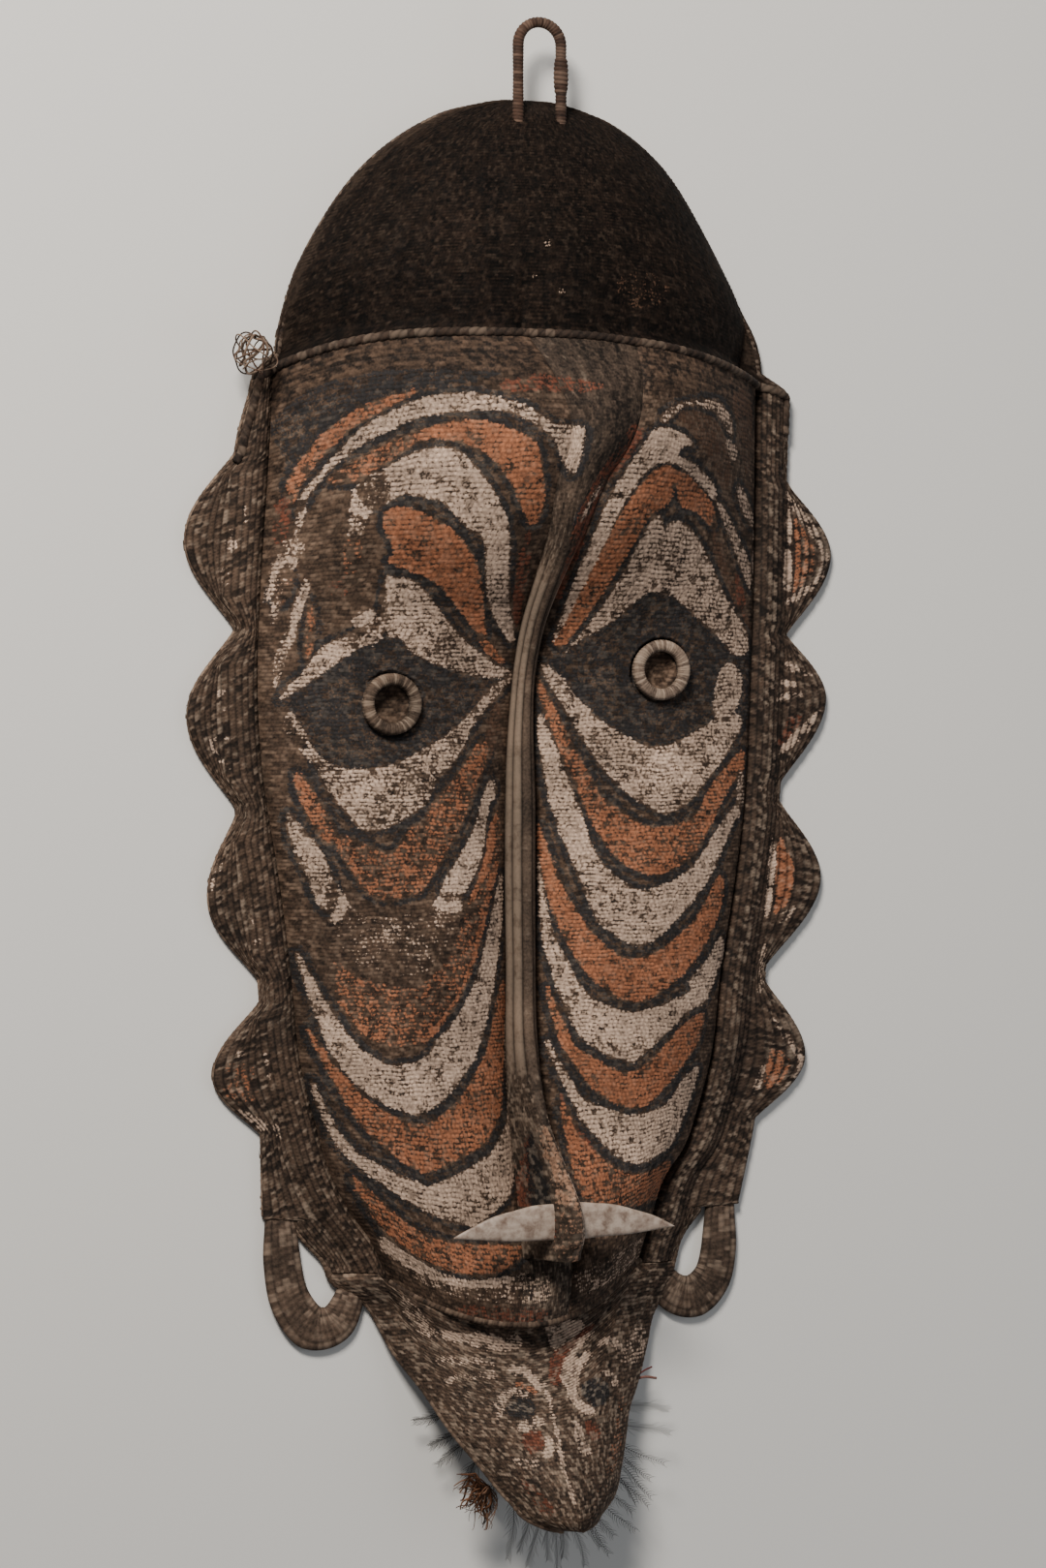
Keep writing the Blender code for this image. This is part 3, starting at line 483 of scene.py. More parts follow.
RIGHT_LOBE_PAINT = (
    ("white", 2, (
        (22, 611), (44, 644), (66, 699), (72, 706), (76, 707), (82, 697), (84, 702), (92, 704),
        (100, 702), (108, 697), (125, 680), (144, 656), (165, 634), (170, 625), (169, 616), (160, 613),
        (152, 615), (143, 624), (103, 650), (94, 654), (83, 656), (73, 653), (59, 638), (34, 622),
    )),
    ("ochre", 1, (
        (17, 619), (17, 631), (37, 691), (46, 712), (62, 734), (75, 741), (83, 739), (99, 734),
        (122, 719), (130, 703), (121, 703), (111, 710), (93, 715), (88, 726), (85, 726), (83, 717),
        (68, 706), (63, 698), (41, 649), (24, 620),
    )),
    ("brown", 2, ((128, 701), (171, 639), (174, 629), (156, 647), (136, 675), (128, 690))),
    ("white", 1, (
        (16, 628), (31, 712), (57, 757), (63, 764), (69, 767), (87, 763), (95, 759), (99, 755), (89, 754),
        (85, 748), (100, 744), (120, 733), (127, 725), (129, 719), (137, 715), (162, 688), (169, 679),
        (173, 668), (169, 661), (139, 702), (123, 721), (92, 739), (75, 743), (68, 741), (57, 732),
        (41, 703), (22, 635),
    )),
    ("white", 3, ((30, 731), (24, 719), (16, 702), (12, 702), (18, 717), (24, 728))),
    ("red", 4, (
        (15, 652), (10, 654), (7, 681), (11, 708), (18, 727), (37, 759), (44, 767), (52, 766), (53, 758),
        (43, 741), (30, 725), (24, 707),
    )),
    ("white", 3, (
        (68, 774), (83, 783), (120, 789), (138, 779), (141, 771), (139, 764), (123, 778), (112, 782),
        (98, 783), (86, 780), (71, 769),
    )),
    ("brown", 2, (
        (83, 774), (96, 780), (120, 775), (129, 767), (136, 755), (141, 739), (135, 728), (110, 752),
    )),
    ("brown", 2, ((142, 794), (160, 799), (169, 782), (166, 755), (160, 740), (149, 765))),
    ("white", 5, ((133, 762), (143, 759), (149, 753), (142, 747), (136, 753))),
    ("white", 3, ((152, 733), (171, 717), (175, 707), (168, 705), (150, 723))),
    ("white", 6, ((174, 704), (179, 694), (181, 673), (179, 651), (173, 666), (172, 687))),
    ("red", 4, ((152, 672), (159, 666), (166, 651), (165, 639), (156, 651))),
    ("white", 2, (
        (12, 605), (25, 595), (46, 571), (73, 554), (89, 549), (108, 553), (148, 571), (165, 567),
        (149, 543), (119, 512), (103, 503), (94, 502), (78, 510), (59, 525), (44, 545), (10, 601),
    )),
    ("white", 7, ((139, 568), (138, 583), (144, 604), (155, 608), (164, 597), (162, 582), (154, 571))),
    ("ochre", 2, (
        (9, 596), (47, 522), (56, 511), (79, 495), (96, 493), (111, 496), (123, 503), (138, 525),
        (163, 546), (166, 532), (151, 519), (123, 476), (99, 461), (85, 459), (73, 463), (63, 469),
        (55, 478), (41, 503), (13, 573),
    )),
    ("white", 1, (
        (11, 571), (32, 520), (47, 474), (66, 454), (77, 449), (88, 450), (116, 463), (145, 496),
        (161, 510), (163, 501), (155, 493), (132, 454), (95, 419), (85, 412), (75, 410), (66, 413),
        (49, 425), (44, 435), (20, 502), (11, 549),
    )),
    ("white", 6, ((160, 530), (167, 528), (167, 507), (160, 507))),
    ("ochre", 1, (
        (11, 495), (20, 466), (34, 434), (49, 413), (59, 405), (72, 401), (87, 405), (98, 411),
        (121, 428), (141, 457), (148, 452), (146, 437), (132, 411), (113, 391), (89, 375), (76, 370),
        (65, 372), (55, 377), (37, 394), (21, 428), (12, 465),
    )),
    ("white", 1, (
        (11, 472), (18, 424), (27, 401), (33, 386), (40, 377), (50, 370), (72, 364), (106, 373),
        (117, 378), (117, 386), (133, 399), (145, 415), (152, 410), (154, 401), (147, 393), (132, 369),
        (116, 363), (77, 333), (68, 329), (47, 337), (33, 350), (25, 367), (19, 389), (13, 417),
    )),
    ("ochre", 1, (
        (16, 381), (29, 346), (36, 337), (65, 322), (87, 333), (109, 353), (121, 359), (131, 361),
        (130, 352), (126, 341), (118, 332), (91, 306), (81, 299), (71, 297), (61, 299), (51, 304),
        (41, 312), (29, 330), (23, 342), (17, 364),
    )),
    ("white", 1, (
        (16, 344), (19, 336), (33, 309), (40, 302), (60, 294), (71, 292), (97, 299), (109, 313),
        (123, 323), (127, 319), (113, 284), (108, 276), (101, 268), (78, 259), (67, 260), (56, 265),
        (35, 288), (31, 297), (15, 337),
    )),
    ("ochre", 3, (
        (23, 303), (35, 277), (54, 258), (68, 252), (85, 253), (103, 259), (111, 245), (103, 232),
        (86, 229), (59, 230), (34, 235), (24, 283),
    )),
    ("red", 2, ((23, 308), (28, 292), (47, 260), (33, 246), (22, 295))),
    ("white", 6, ((26, 186), (45, 193), (65, 201), (86, 205), (92, 192), (70, 181), (46, 173), (27, 169))),
    ("red", 4, ((-44, 796), (-17, 801), (9, 798), (24, 792), (8, 787), (-18, 788), (-44, 789))),
)
LEFT_EYE_FIELD = (
    ("coal", 2, (
        (-39, 592), (-38, 582), (-54, 563), (-85, 544), (-107, 535), (-133, 533), (-143, 535),
        (-156, 545), (-176, 579), (-171, 585), (-130, 613), (-111, 623), (-96, 621), (-85, 608),
        (-44, 596),
    )),
    ("coal", 3, (
        (-44, 801), (-75, 792), (-122, 785), (-144, 773), (-161, 758), (-172, 740), (-177, 747),
        (-182, 767), (-171, 783), (-155, 794), (-133, 801), (-104, 804),
    )),
)
RIGHT_EYE_FIELD = (
    ("coal", 2, (
        (175, 625), (176, 598), (174, 570), (163, 567), (148, 571), (108, 553), (89, 549), (73, 554),
        (46, 571), (14, 607), (59, 637), (73, 652), (83, 655), (94, 653), (103, 649), (143, 623),
        (152, 614), (166, 614),
    )),
)

def surface(x, v):
    """Points of the outer surface, with the flat seats of the eye rings and their recesses."""
    y, z = lift(x, v), height(x, v)
    for at_x, at_y in (LEFT_EYE, RIGHT_EYE):
        away = np.hypot(x - at_x, y - at_y)
        z = np.where(away < SEAT_RADIUS, np.minimum(z, SEAT_Z), z)
        z = np.where(away < PUPIL_RADIUS, SEAT_Z - PUPIL_DEPTH, z)
    return np.stack((x, y, z), -1)


def evenly(low, high, v, count):
    """x of columns that lie the same distance apart along the surface, between two lines on it."""
    near = np.linspace(0, 1, 240)[None, :]
    x = low[:, None] + (high - low)[:, None] * near
    rows = np.broadcast_to(v[:, None], x.shape)
    step = np.hypot(np.diff(x, axis=1), np.diff(height(x, rows), axis=1))
    run = np.concatenate((np.zeros((len(v), 1)), np.cumsum(step, axis=1)), axis=1)
    share = np.linspace(0, 1, count)
    return np.array([np.interp(share * r[-1], r, line) for r, line in zip(run, x)])


def chance(a, b=0.0):
    """A steady random number from 0 to 1 for each pair of counts."""
    return np.modf(np.abs(np.sin(a * 12.9898 + b * 78.233) * 43758.5453))[0]


def depth_inside(x, y, outline):
    """Distance from a smoothed closed outline, positive inside and cut off at REACH."""
    corner = np.array(outline, float)
    before, after, beyond = (np.roll(corner, k, 0) for k in (1, -1, -2))
    t = np.linspace(0, 1, 4, endpoint=False)[:, None, None]
    run = corner + 0.5 * (
        (after - before) * t
        + (2 * before - 5 * corner + 4 * after - beyond) * t**2
        + (3 * corner - before - 3 * after + beyond) * t**3
    )
    run = run.transpose(1, 0, 2).reshape(-1, 2)
    depth = np.full(x.shape, -REACH)
    low, high = run.min(0) - REACH, run.max(0) + REACH
    near = (x > low[0]) & (x < high[0]) & (y > low[1]) & (y < high[1])
    if not near.any():
        return depth
    point = np.stack((x[near], y[near]), -1)[:, None]
    start, end = run, np.roll(run, -1, 0)
    along = end - start
    s = np.clip(((point - start) * along).sum(-1) / ((along**2).sum(-1) + 1e-9), 0, 1)
    away = point - (start + s[..., None] * along)
    gap = np.sqrt((away**2).sum(-1)).min(1)
    py, px = point[..., 1], point[..., 0]
    over = (start[:, 1] > py) != (end[:, 1] > py)
    rise = np.where(np.abs(along[:, 1]) < 1e-9, 1e-9, along[:, 1])
    crossed = over & (px < start[:, 0] + (py - start[:, 1]) * along[:, 0] / rise)
    depth[near] = np.clip(np.where(crossed.sum(1) % 2 == 1, gap, -gap), -REACH, REACH)
    return depth


def painted(x, y, strokes, spread=OUTLINE_SPREAD):
    """How deep each point lies in each clay, and how worn the clay is there."""
    marks = {field: np.full(x.shape, -REACH) for field in FIELDS}
    marks["worn"] = np.full(x.shape, 0.45)
    firm = np.full(x.shape, -REACH)
    for clay, wear, outline in strokes:
        depth = depth_inside(x, y, outline)
        marks["worn"] = np.where(depth > -1.5, wear / 9, marks["worn"])
        marks[clay] = np.maximum(marks[clay], depth)
        if clay in ("white", "ochre") and wear < 5:
            firm = np.maximum(firm, depth)
    if spread:
        outside = firm + spread
        outline = (outside > spread - REACH + 0.1) & (outside < spread)
        marks["coal"] = np.maximum(marks["coal"], np.where(outline, outside, -REACH))
        marks["worn"] = np.where(outline & (outside < spread - 1.5), 0.12, marks["worn"])
    return marks


def twined(stitches, wefts, slant=0.3):
    """Height from 0 to 1 of stitches set like bricks, by counts across and up, and a tone for each."""
    wefts = wefts + 0.22 * np.sin(stitches * 0.41 + 1.7 * np.sin(wefts * 0.13)) + 0.15 * np.sin(stitches * 1.13)
    lay = np.floor(wefts)
    q = wefts - lay
    across = stitches + 0.5 * (lay % 2) + slant * (q - 0.5) + 0.18 * np.sin(lay * 1.9)
    place = np.floor(across)
    luck = chance(place, lay)
    full = np.where(luck < 0.14, 0.35, 0.68 + 0.32 * luck)
    crest = 0.18 + 0.82 * np.sin(math.pi * q) ** 0.6 * (0.36 + 0.64 * np.sin(math.pi * (across - place))) * full
    tone = 0.15 * chance(lay, 3.0) + 0.85 * chance(place, lay + 7)
    return crest, tone


def fit(name, mesh, finish, node):
    """A mesh in the maker's frame becomes a piece that stands for a solid of the frame."""
    mesh.transform(Matrix.Scale(MM, 4) @ Matrix.Translation(SHIFT))
    mesh.materials.append(finish)
    mesh.shade_smooth()
    piece = bpy.data.objects.new(name, mesh)
    scene.collection.objects.link(piece)
    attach(piece, "root")
    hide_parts(node)
    return piece


def woven_sheet(name, point, relief, marks, finish):
    """A grid of stitches, each point moved out along the surface by its relief, with its values."""
    across, up = np.gradient(point, axis=1), np.gradient(point, axis=0)
    out = np.cross(across, up)
    out /= np.maximum(np.linalg.norm(out, axis=-1, keepdims=True), 1e-9)
    point = point + out * relief[..., None]
    rows, cols = relief.shape
    bm = bmesh.new()
    bmesh.ops.create_grid(bm, x_segments=cols - 1, y_segments=rows - 1, size=1.0)
    mesh = bpy.data.meshes.new(name)
    bm.to_mesh(mesh)
    bm.free()
    mesh.vertices.foreach_set("co", point.reshape(-1))
    for field, values in marks.items():
        made = mesh.attributes.new(field, "FLOAT", "POINT")
        made.data.foreach_set("value", np.broadcast_to(values, relief.shape).reshape(-1))
    mesh.update()
    return fit(name, mesh, finish, "woven_body")


def add(tree, kind, wires=(), **settings):
    """A node of this kind, with its settings made and its inputs set or wired."""
    made = tree.nodes.new("ShaderNode" + kind)
    for key, value in settings.items():
        setattr(made, key, value)
    for key, value in dict(wires).items():
        if isinstance(value, bpy.types.NodeSocket):
            tree.links.new(value, made.inputs[key])
        else:
            made.inputs[key].default_value = value
    return made


def sums(tree, operation, a, b, c=None):
    """One sum of two or three numbers or sockets."""
    wires = {0: a, 1: b} if c is None else {0: a, 1: b, 2: c}
    return add(tree, "Math", wires, operation=operation).outputs[0]


def blend(tree, share, a, b, way="MIX"):
    """Two colours mixed by a share."""
    made = add(tree, "Mix", {0: share, 6: a, 7: b}, data_type="RGBA", blend_type=way)
    return made.outputs[2]


def grain(tree, size, detail=2.0, stretch=(1, 1, 1)):
    """Noise from 0 to 1 whose lumps are about this many millimetres wide."""
    place = add(tree, "TexCoord").outputs["Object"]
    if stretch != (1, 1, 1):
        place = add(tree, "Mapping", {"Vector": place, "Scale": stretch}).outputs[0]
    noise = add(
        tree, "TexNoise", {"Vector": place, "Scale": 1000.0 / size, "Detail": detail, "Roughness": 0.6}
    )
    return noise.outputs["Fac"]


def effect(name, inputs, outputs):
    """An empty shader group with these sockets."""
    tree = bpy.data.node_groups.new(name, "ShaderNodeTree")
    for label, kind, value in inputs:
        socket = tree.interface.new_socket(label, in_out="INPUT", socket_type="NodeSocket" + kind)
        socket.default_value = value
    for label, kind in outputs:
        tree.interface.new_socket(label, in_out="OUTPUT", socket_type="NodeSocket" + kind)
    return tree, tree.nodes.new("NodeGroupInput"), tree.nodes.new("NodeGroupOutput")


def use(tree, made, wires):
    """An effect placed in a material."""
    node = tree.nodes.new("ShaderNodeGroup")
    node.node_tree = made
    for key, value in wires.items():
        if isinstance(value, bpy.types.NodeSocket):
            tree.links.new(value, node.inputs[key])
        else:
            node.inputs[key].default_value = value
    return node


# Clay as it has lasted: whole well inside its outline, broken into dots towards its edge, rubbed away in
# patches and pits, and kept longest on the crests of the stitches.
rubbed_clay, coming, going = effect(
    "rubbed_clay",
    (
        ("Under", "Color", (0.1, 0.1, 0.1, 1)), ("Clay", "Color", (0.5, 0.5, 0.5, 1)), ("Depth", "Float", 0.0),
        ("Worn", "Float", 0.4), ("Raised", "Float", 0.5), ("Ragged", "Float", 3.0),
    ),
    (("Colour", "Color"),),
)
wander = sums(rubbed_clay, "SUBTRACT", grain(rubbed_clay, 7.0, 3.0), 0.5)
ragged = sums(rubbed_clay, "MULTIPLY_ADD", wander, coming.outputs["Ragged"], coming.outputs["Depth"])
edge_hold = add(
    rubbed_clay, "MapRange", {"Value": ragged, "From Min": -2.6, "From Max": 1.2, "To Min": -0.24, "To Max": 0.08}
).outputs[0]
speck = sums(
    rubbed_clay, "MULTIPLY_ADD", grain(rubbed_clay, 1.7, 3.0), 0.5,
    sums(
        rubbed_clay, "MULTIPLY_ADD", grain(rubbed_clay, 5.5, 2.0), 0.25,
        sums(rubbed_clay, "MULTIPLY", grain(rubbed_clay, 22.0, 3.0), 0.25),
    ),
)
kept = sums(
    rubbed_clay, "MULTIPLY_ADD", coming.outputs["Raised"], 0.24,
    sums(rubbed_clay, "ADD", speck, edge_hold)
)
bare_at = sums(rubbed_clay, "MULTIPLY_ADD", coming.outputs["Worn"], 0.22, 0.625)
left_on = add(
    rubbed_clay, "MapRange",
    {"Value": sums(rubbed_clay, "SUBTRACT", kept, bare_at), "From Min": -0.035, "From Max": 0.05},
    interpolation_type="SMOOTHSTEP",
).outputs[0]
near = add(rubbed_clay, "MapRange", {"Value": ragged, "From Min": -4.0, "From Max": -2.0}).outputs[0]
mottle = sums(rubbed_clay, "MULTIPLY_ADD", grain(rubbed_clay, 2.0, 3.0), 1.7, -0.35)
mottle = sums(rubbed_clay, "MULTIPLY_ADD", grain(rubbed_clay, 28.0, 3.0), 0.8, mottle)
clay = add(
    rubbed_clay, "VectorMath", {0: coming.outputs["Clay"], "Scale": mottle}, operation="SCALE"
).outputs[0]
rubbed_clay.links.new(
    blend(rubbed_clay, sums(rubbed_clay, "MULTIPLY", near, left_on), coming.outputs["Under"], clay),
    going.inputs["Colour"],
)

# Cane colour: each stitch or strand has its own tone, with stains across many of them.
cane_tone, coming, going = effect(
    "cane_tone",
    (("Light", "Color", (0.2, 0.12, 0.08, 1)), ("Dark", "Color", (0.04, 0.03, 0.02, 1)), ("Tone", "Float", 0.5)),
    (("Colour", "Color"),),
)
stain = sums(cane_tone, "MULTIPLY_ADD", grain(cane_tone, 24.0, 4.0), 0.8, -0.85)
stain = sums(cane_tone, "MULTIPLY_ADD", grain(cane_tone, 1.8, 3.0), 1.2, stain)
share = add(
    cane_tone, "MapRange", {"Value": sums(cane_tone, "MULTIPLY_ADD", coming.outputs["Tone"], 0.75, stain)}
).outputs[0]
cane_tone.links.new(
    blend(cane_tone, share, coming.outputs["Dark"], coming.outputs["Light"]), going.inputs["Colour"]
)

# Painted shade in the stitch gaps, broad stains, and pale dust that doubles as painted highlight on crests.
shade_stain_and_dust, coming, going = effect(
    "shade_stain_and_dust",
    (
        ("Colour", "Color", (0.5, 0.5, 0.5, 1)), ("Raised", "Float", 0.5), ("Gap", "Float", 0.75),
        ("Dust_and_highlight", "Float", 0.1), ("Tone", "Float", 0.5),
    ),
    (("Colour", "Color"), ("Roughness", "Float")),
)
# Painted shade: the colour is darkened where the stitch relief is low, in the gaps between stitches.
deepest = sums(shade_stain_and_dust, "SUBTRACT", 1.0, coming.outputs["Gap"])
shade = add(
    shade_stain_and_dust, "MapRange", {"Value": coming.outputs["Raised"], "From Min": 0.15, "From Max": 0.85, "To Min": deepest}
).outputs[0]
patch = sums(shade_stain_and_dust, "MULTIPLY_ADD", grain(shade_stain_and_dust, 45.0, 3.0), 1.2, 0.35)
shade = sums(shade_stain_and_dust, "MULTIPLY", shade, patch)
dimmed = add(shade_stain_and_dust, "VectorMath", {0: coming.outputs["Colour"], "Scale": shade}, operation="SCALE").outputs[0]
# Pale dust on some stitches, laid only on their crests, so it is also a painted highlight there.
loose = sums(shade_stain_and_dust, "MULTIPLY_ADD", grain(shade_stain_and_dust, 5.0, 4.0), 0.9, coming.outputs["Tone"])
dust_and_crest_highlight = add(shade_stain_and_dust, "MapRange", {"Value": loose, "From Min": 0.98, "From Max": 1.25}).outputs[0]
dust_and_crest_highlight = sums(
    shade_stain_and_dust, "MULTIPLY", sums(shade_stain_and_dust, "MULTIPLY", dust_and_crest_highlight, coming.outputs["Raised"]), coming.outputs["Dust_and_highlight"]
)
shade_stain_and_dust.links.new(blend(shade_stain_and_dust, dust_and_crest_highlight, dimmed, (0.42, 0.33, 0.25, 1)), going.inputs["Colour"])
shade_stain_and_dust.links.new(sums(shade_stain_and_dust, "MULTIPLY_ADD", grain(shade_stain_and_dust, 8.0), 0.3, 0.68), going.inputs["Roughness"])


def woven_finish(name, cane, clays=FACE_CLAYS, gap=0.85, dust_and_highlight=0.1, ragged=3.0, fibre=0.9, shine=0.2):
    """Cane of two tones with its clays over it, painted shade in the gaps, pale dust that is also a painted
    highlight on some crests, and fine fibre in its relief.
    """
    made = bpy.data.materials.new(name)
    made.use_nodes = True
    tree = made.node_tree
    shader = tree.nodes["Principled BSDF"]
    light, dark = cane
    known = {
        field: add(tree, "Attribute", attribute_name=field).outputs["Fac"]
        for field in ("raised", "tone", *clays, *(("worn",) if clays else ()))
    }
    colour = use(tree, cane_tone, {"Light": (*light, 1), "Dark": (*dark, 1), "Tone": known["tone"]}).outputs[0]
    for clay in clays:
        colour = use(
            tree, rubbed_clay,
            {
                "Under": colour, "Clay": (*PAINTS[clay], 1), "Depth": known[clay], "Worn": known["worn"],
                "Raised": known["raised"], "Ragged": ragged,
            },
        ).outputs[0]
    # Painted gap shade, stain patches and dust with painted crest highlight go on here.
    shaded_and_dusted = use(
        tree, shade_stain_and_dust, {"Colour": colour, "Raised": known["raised"], "Gap": gap, "Dust_and_highlight": dust_and_highlight, "Tone": known["tone"]}
    )
    tree.links.new(shaded_and_dusted.outputs["Colour"], shader.inputs["Base Color"])
    tree.links.new(shaded_and_dusted.outputs["Roughness"], shader.inputs["Roughness"])
    shader.inputs["Specular IOR Level"].default_value = shine
    bump = add(tree, "Bump", {"Height": grain(tree, fibre, 2.0), "Strength": 0.35, "Distance": 0.0004})
    tree.links.new(bump.outputs[0], shader.inputs["Normal"])
    return made


lobe_finish = woven_finish("painted_twining", LOBE_CANE, gap=0.76)
face_v = np.arange(LIP_Y, BROW_Y + 0.01, WEFT_ROW)
for side, label, strokes in (
    (-1, "lobe_left", LEFT_LOBE_PAINT + LEFT_EYE_FIELD),
    (1, "lobe_right", RIGHT_LOBE_PAINT + RIGHT_EYE_FIELD),
):
    ridge_y = ridge_at(face_v)
    inner = knots(RIDGE_X, ridge_y) + side * knots(RIDGE_HALF, ridge_y)
    outer = groove_x(side, face_v)
    share = np.linspace(0, 1, STITCHES * 3 + 1)
    first, last = (outer, inner) if side < 0 else (inner, outer)
    x = first[:, None] + (last - first)[:, None] * share
    v = np.broadcast_to(face_v[:, None], x.shape)
    point = surface(x, v)
    from_groove = np.abs(x - outer[:, None])
    point[..., 2] -= GROOVE_DIP * np.exp(-((from_groove / 2.6) ** 2))
    crest, tone = twined(np.broadcast_to(share * STITCHES, x.shape), (v - LIP_Y) / WEFT_PITCH)
    canes = np.abs(np.sin(math.pi * (v - BAND_LOW_V) / BAND_PITCH)) ** 0.6
    banded = 0.5 * smooth((v - BAND_LOW_V) / 3.0)
    crest = crest * (1 - banded) + canes * banded
    held = np.minimum(share, 1 - share) * STITCHES
    relief = STITCH_DEPTH * (crest - 0.55) * (1 + 0.5 * banded) * np.clip(held, 0, 1)
    marks = painted(point[..., 0], point[..., 1], strokes)
    for at_x, at_y in (LEFT_EYE, RIGHT_EYE):
        pupil = np.hypot(point[..., 0] - at_x, point[..., 1] - at_y) < PUPIL_RADIUS + 3
        marks["coal"] = np.where(pupil, -REACH, marks["coal"])
    tone = tone - 0.35 * smooth((v - BAND_LOW_V + 12) / 14.0)
    woven_sheet(label, point, relief, {**marks, "raised": crest, "tone": tone}, lobe_finish)

# ---- The centre ridge and the nose ----
# Between the lobes runs a bundle of five round canes. Towards the mouth it swells into the nose, where
# the canes are covered with fine twining, and thin lines of clay mark the bridge.
RIDGE_CANES = 5
RIDGE_COLUMNS = 90
CANE_DEPTH = 1.2
NOSE_TWINING_TOP = 340.0
CROWN_TWINING_LOW = 640.0
CROWN_DARKER = 0.3
NOSE_FOOT_Y = 196.0
RIDGE_CANE = ((0.135, 0.09, 0.063), (0.014, 0.0095, 0.007))
NOSE_PAINT = (
    ("red", 1, ((-7, 280), (-7, 234), (-16, 232), (-19, 234), (-11, 251))),
    # The near black stroke is painted shade for the dark slits between the canes of the nose's left flank.
    ("black", 0, ((-6, 284), (-4, 268), (-3, 252), (-3, 236), (-9, 233), (-9, 246), (-8, 266))),
    ("tan", 2, (
        (-3, 292), (0, 288), (4, 274), (7, 258), (10, 242), (12, 226), (12, 200), (4, 197), (-3, 202),
        (-2, 220), (-2, 238), (-2, 256), (-4, 274),
    )),
    ("red", 6, ((-3, 232), (6, 232), (8, 202), (-2, 202))),
    ("white", 3, (
        (2, 292), (5, 276), (7, 258), (9, 240), (11, 226), (11, 208), (15, 208), (15, 226), (13, 240),
        (11, 258), (8, 276), (5, 292),
    )),
)

ridge_finish = woven_finish("bundled_cane", RIDGE_CANE, FIELDS, dust_and_highlight=0.25)
ridge_v = np.arange(LIP_Y, BROW_Y + 0.01, 1.2)
ridge_y = ridge_at(ridge_v)
middle, half = knots(RIDGE_X, ridge_y), knots(RIDGE_HALF, ridge_y)
x = evenly(middle - half, middle + half, ridge_v, RIDGE_COLUMNS)
v = np.broadcast_to(ridge_v[:, None], x.shape)
point = surface(x, v)
share = np.broadcast_to(np.linspace(0, 1, RIDGE_COLUMNS), x.shape)
round_cane = np.abs(np.sin(math.pi * RIDGE_CANES * share)) ** 0.55
strand = np.floor(share * RIDGE_CANES * 0.999)
stitched, stitch_tone = twined(share * 26, v / WEFT_PITCH)
nose = np.maximum(smooth((NOSE_TWINING_TOP - v) / 40.0), 0.75 * smooth((v - CROWN_TWINING_LOW) / 50.0))
crest = round_cane * (1 - nose) + stitched * nose
tone = (0.75 * chance(strand, 2.0) + 0.25 * chance(strand, np.floor(v / 9))) * (1 - nose)
tone = tone + stitch_tone * nose
relief = (CANE_DEPTH * (1 - nose) + STITCH_DEPTH * nose) * (crest - 0.6)
relief *= np.clip(np.minimum(share, 1 - share) * 40, 0, 1)
marks = painted(point[..., 0], point[..., 1], LEFT_LOBE_PAINT + RIGHT_LOBE_PAINT)
bridge = painted(point[..., 0], point[..., 1], NOSE_PAINT, spread=0)
low_nose = (v < NOSE_TWINING_TOP) & (point[..., 1] > NOSE_FOOT_Y)
covered = (v > CROWN_TWINING_LOW) | (point[..., 1] <= NOSE_FOOT_Y)
for field in FIELDS:
    marks[field] = np.where(low_nose, bridge[field], np.where(covered, marks[field], -REACH))
marks["worn"] = np.where(low_nose, bridge["worn"], marks["worn"])
tone = tone - CROWN_DARKER * smooth((v - CROWN_TWINING_LOW) / 80.0)
woven_sheet("nose_ridge", point, relief, {**marks, "raised": crest, "tone": tone}, ridge_finish)

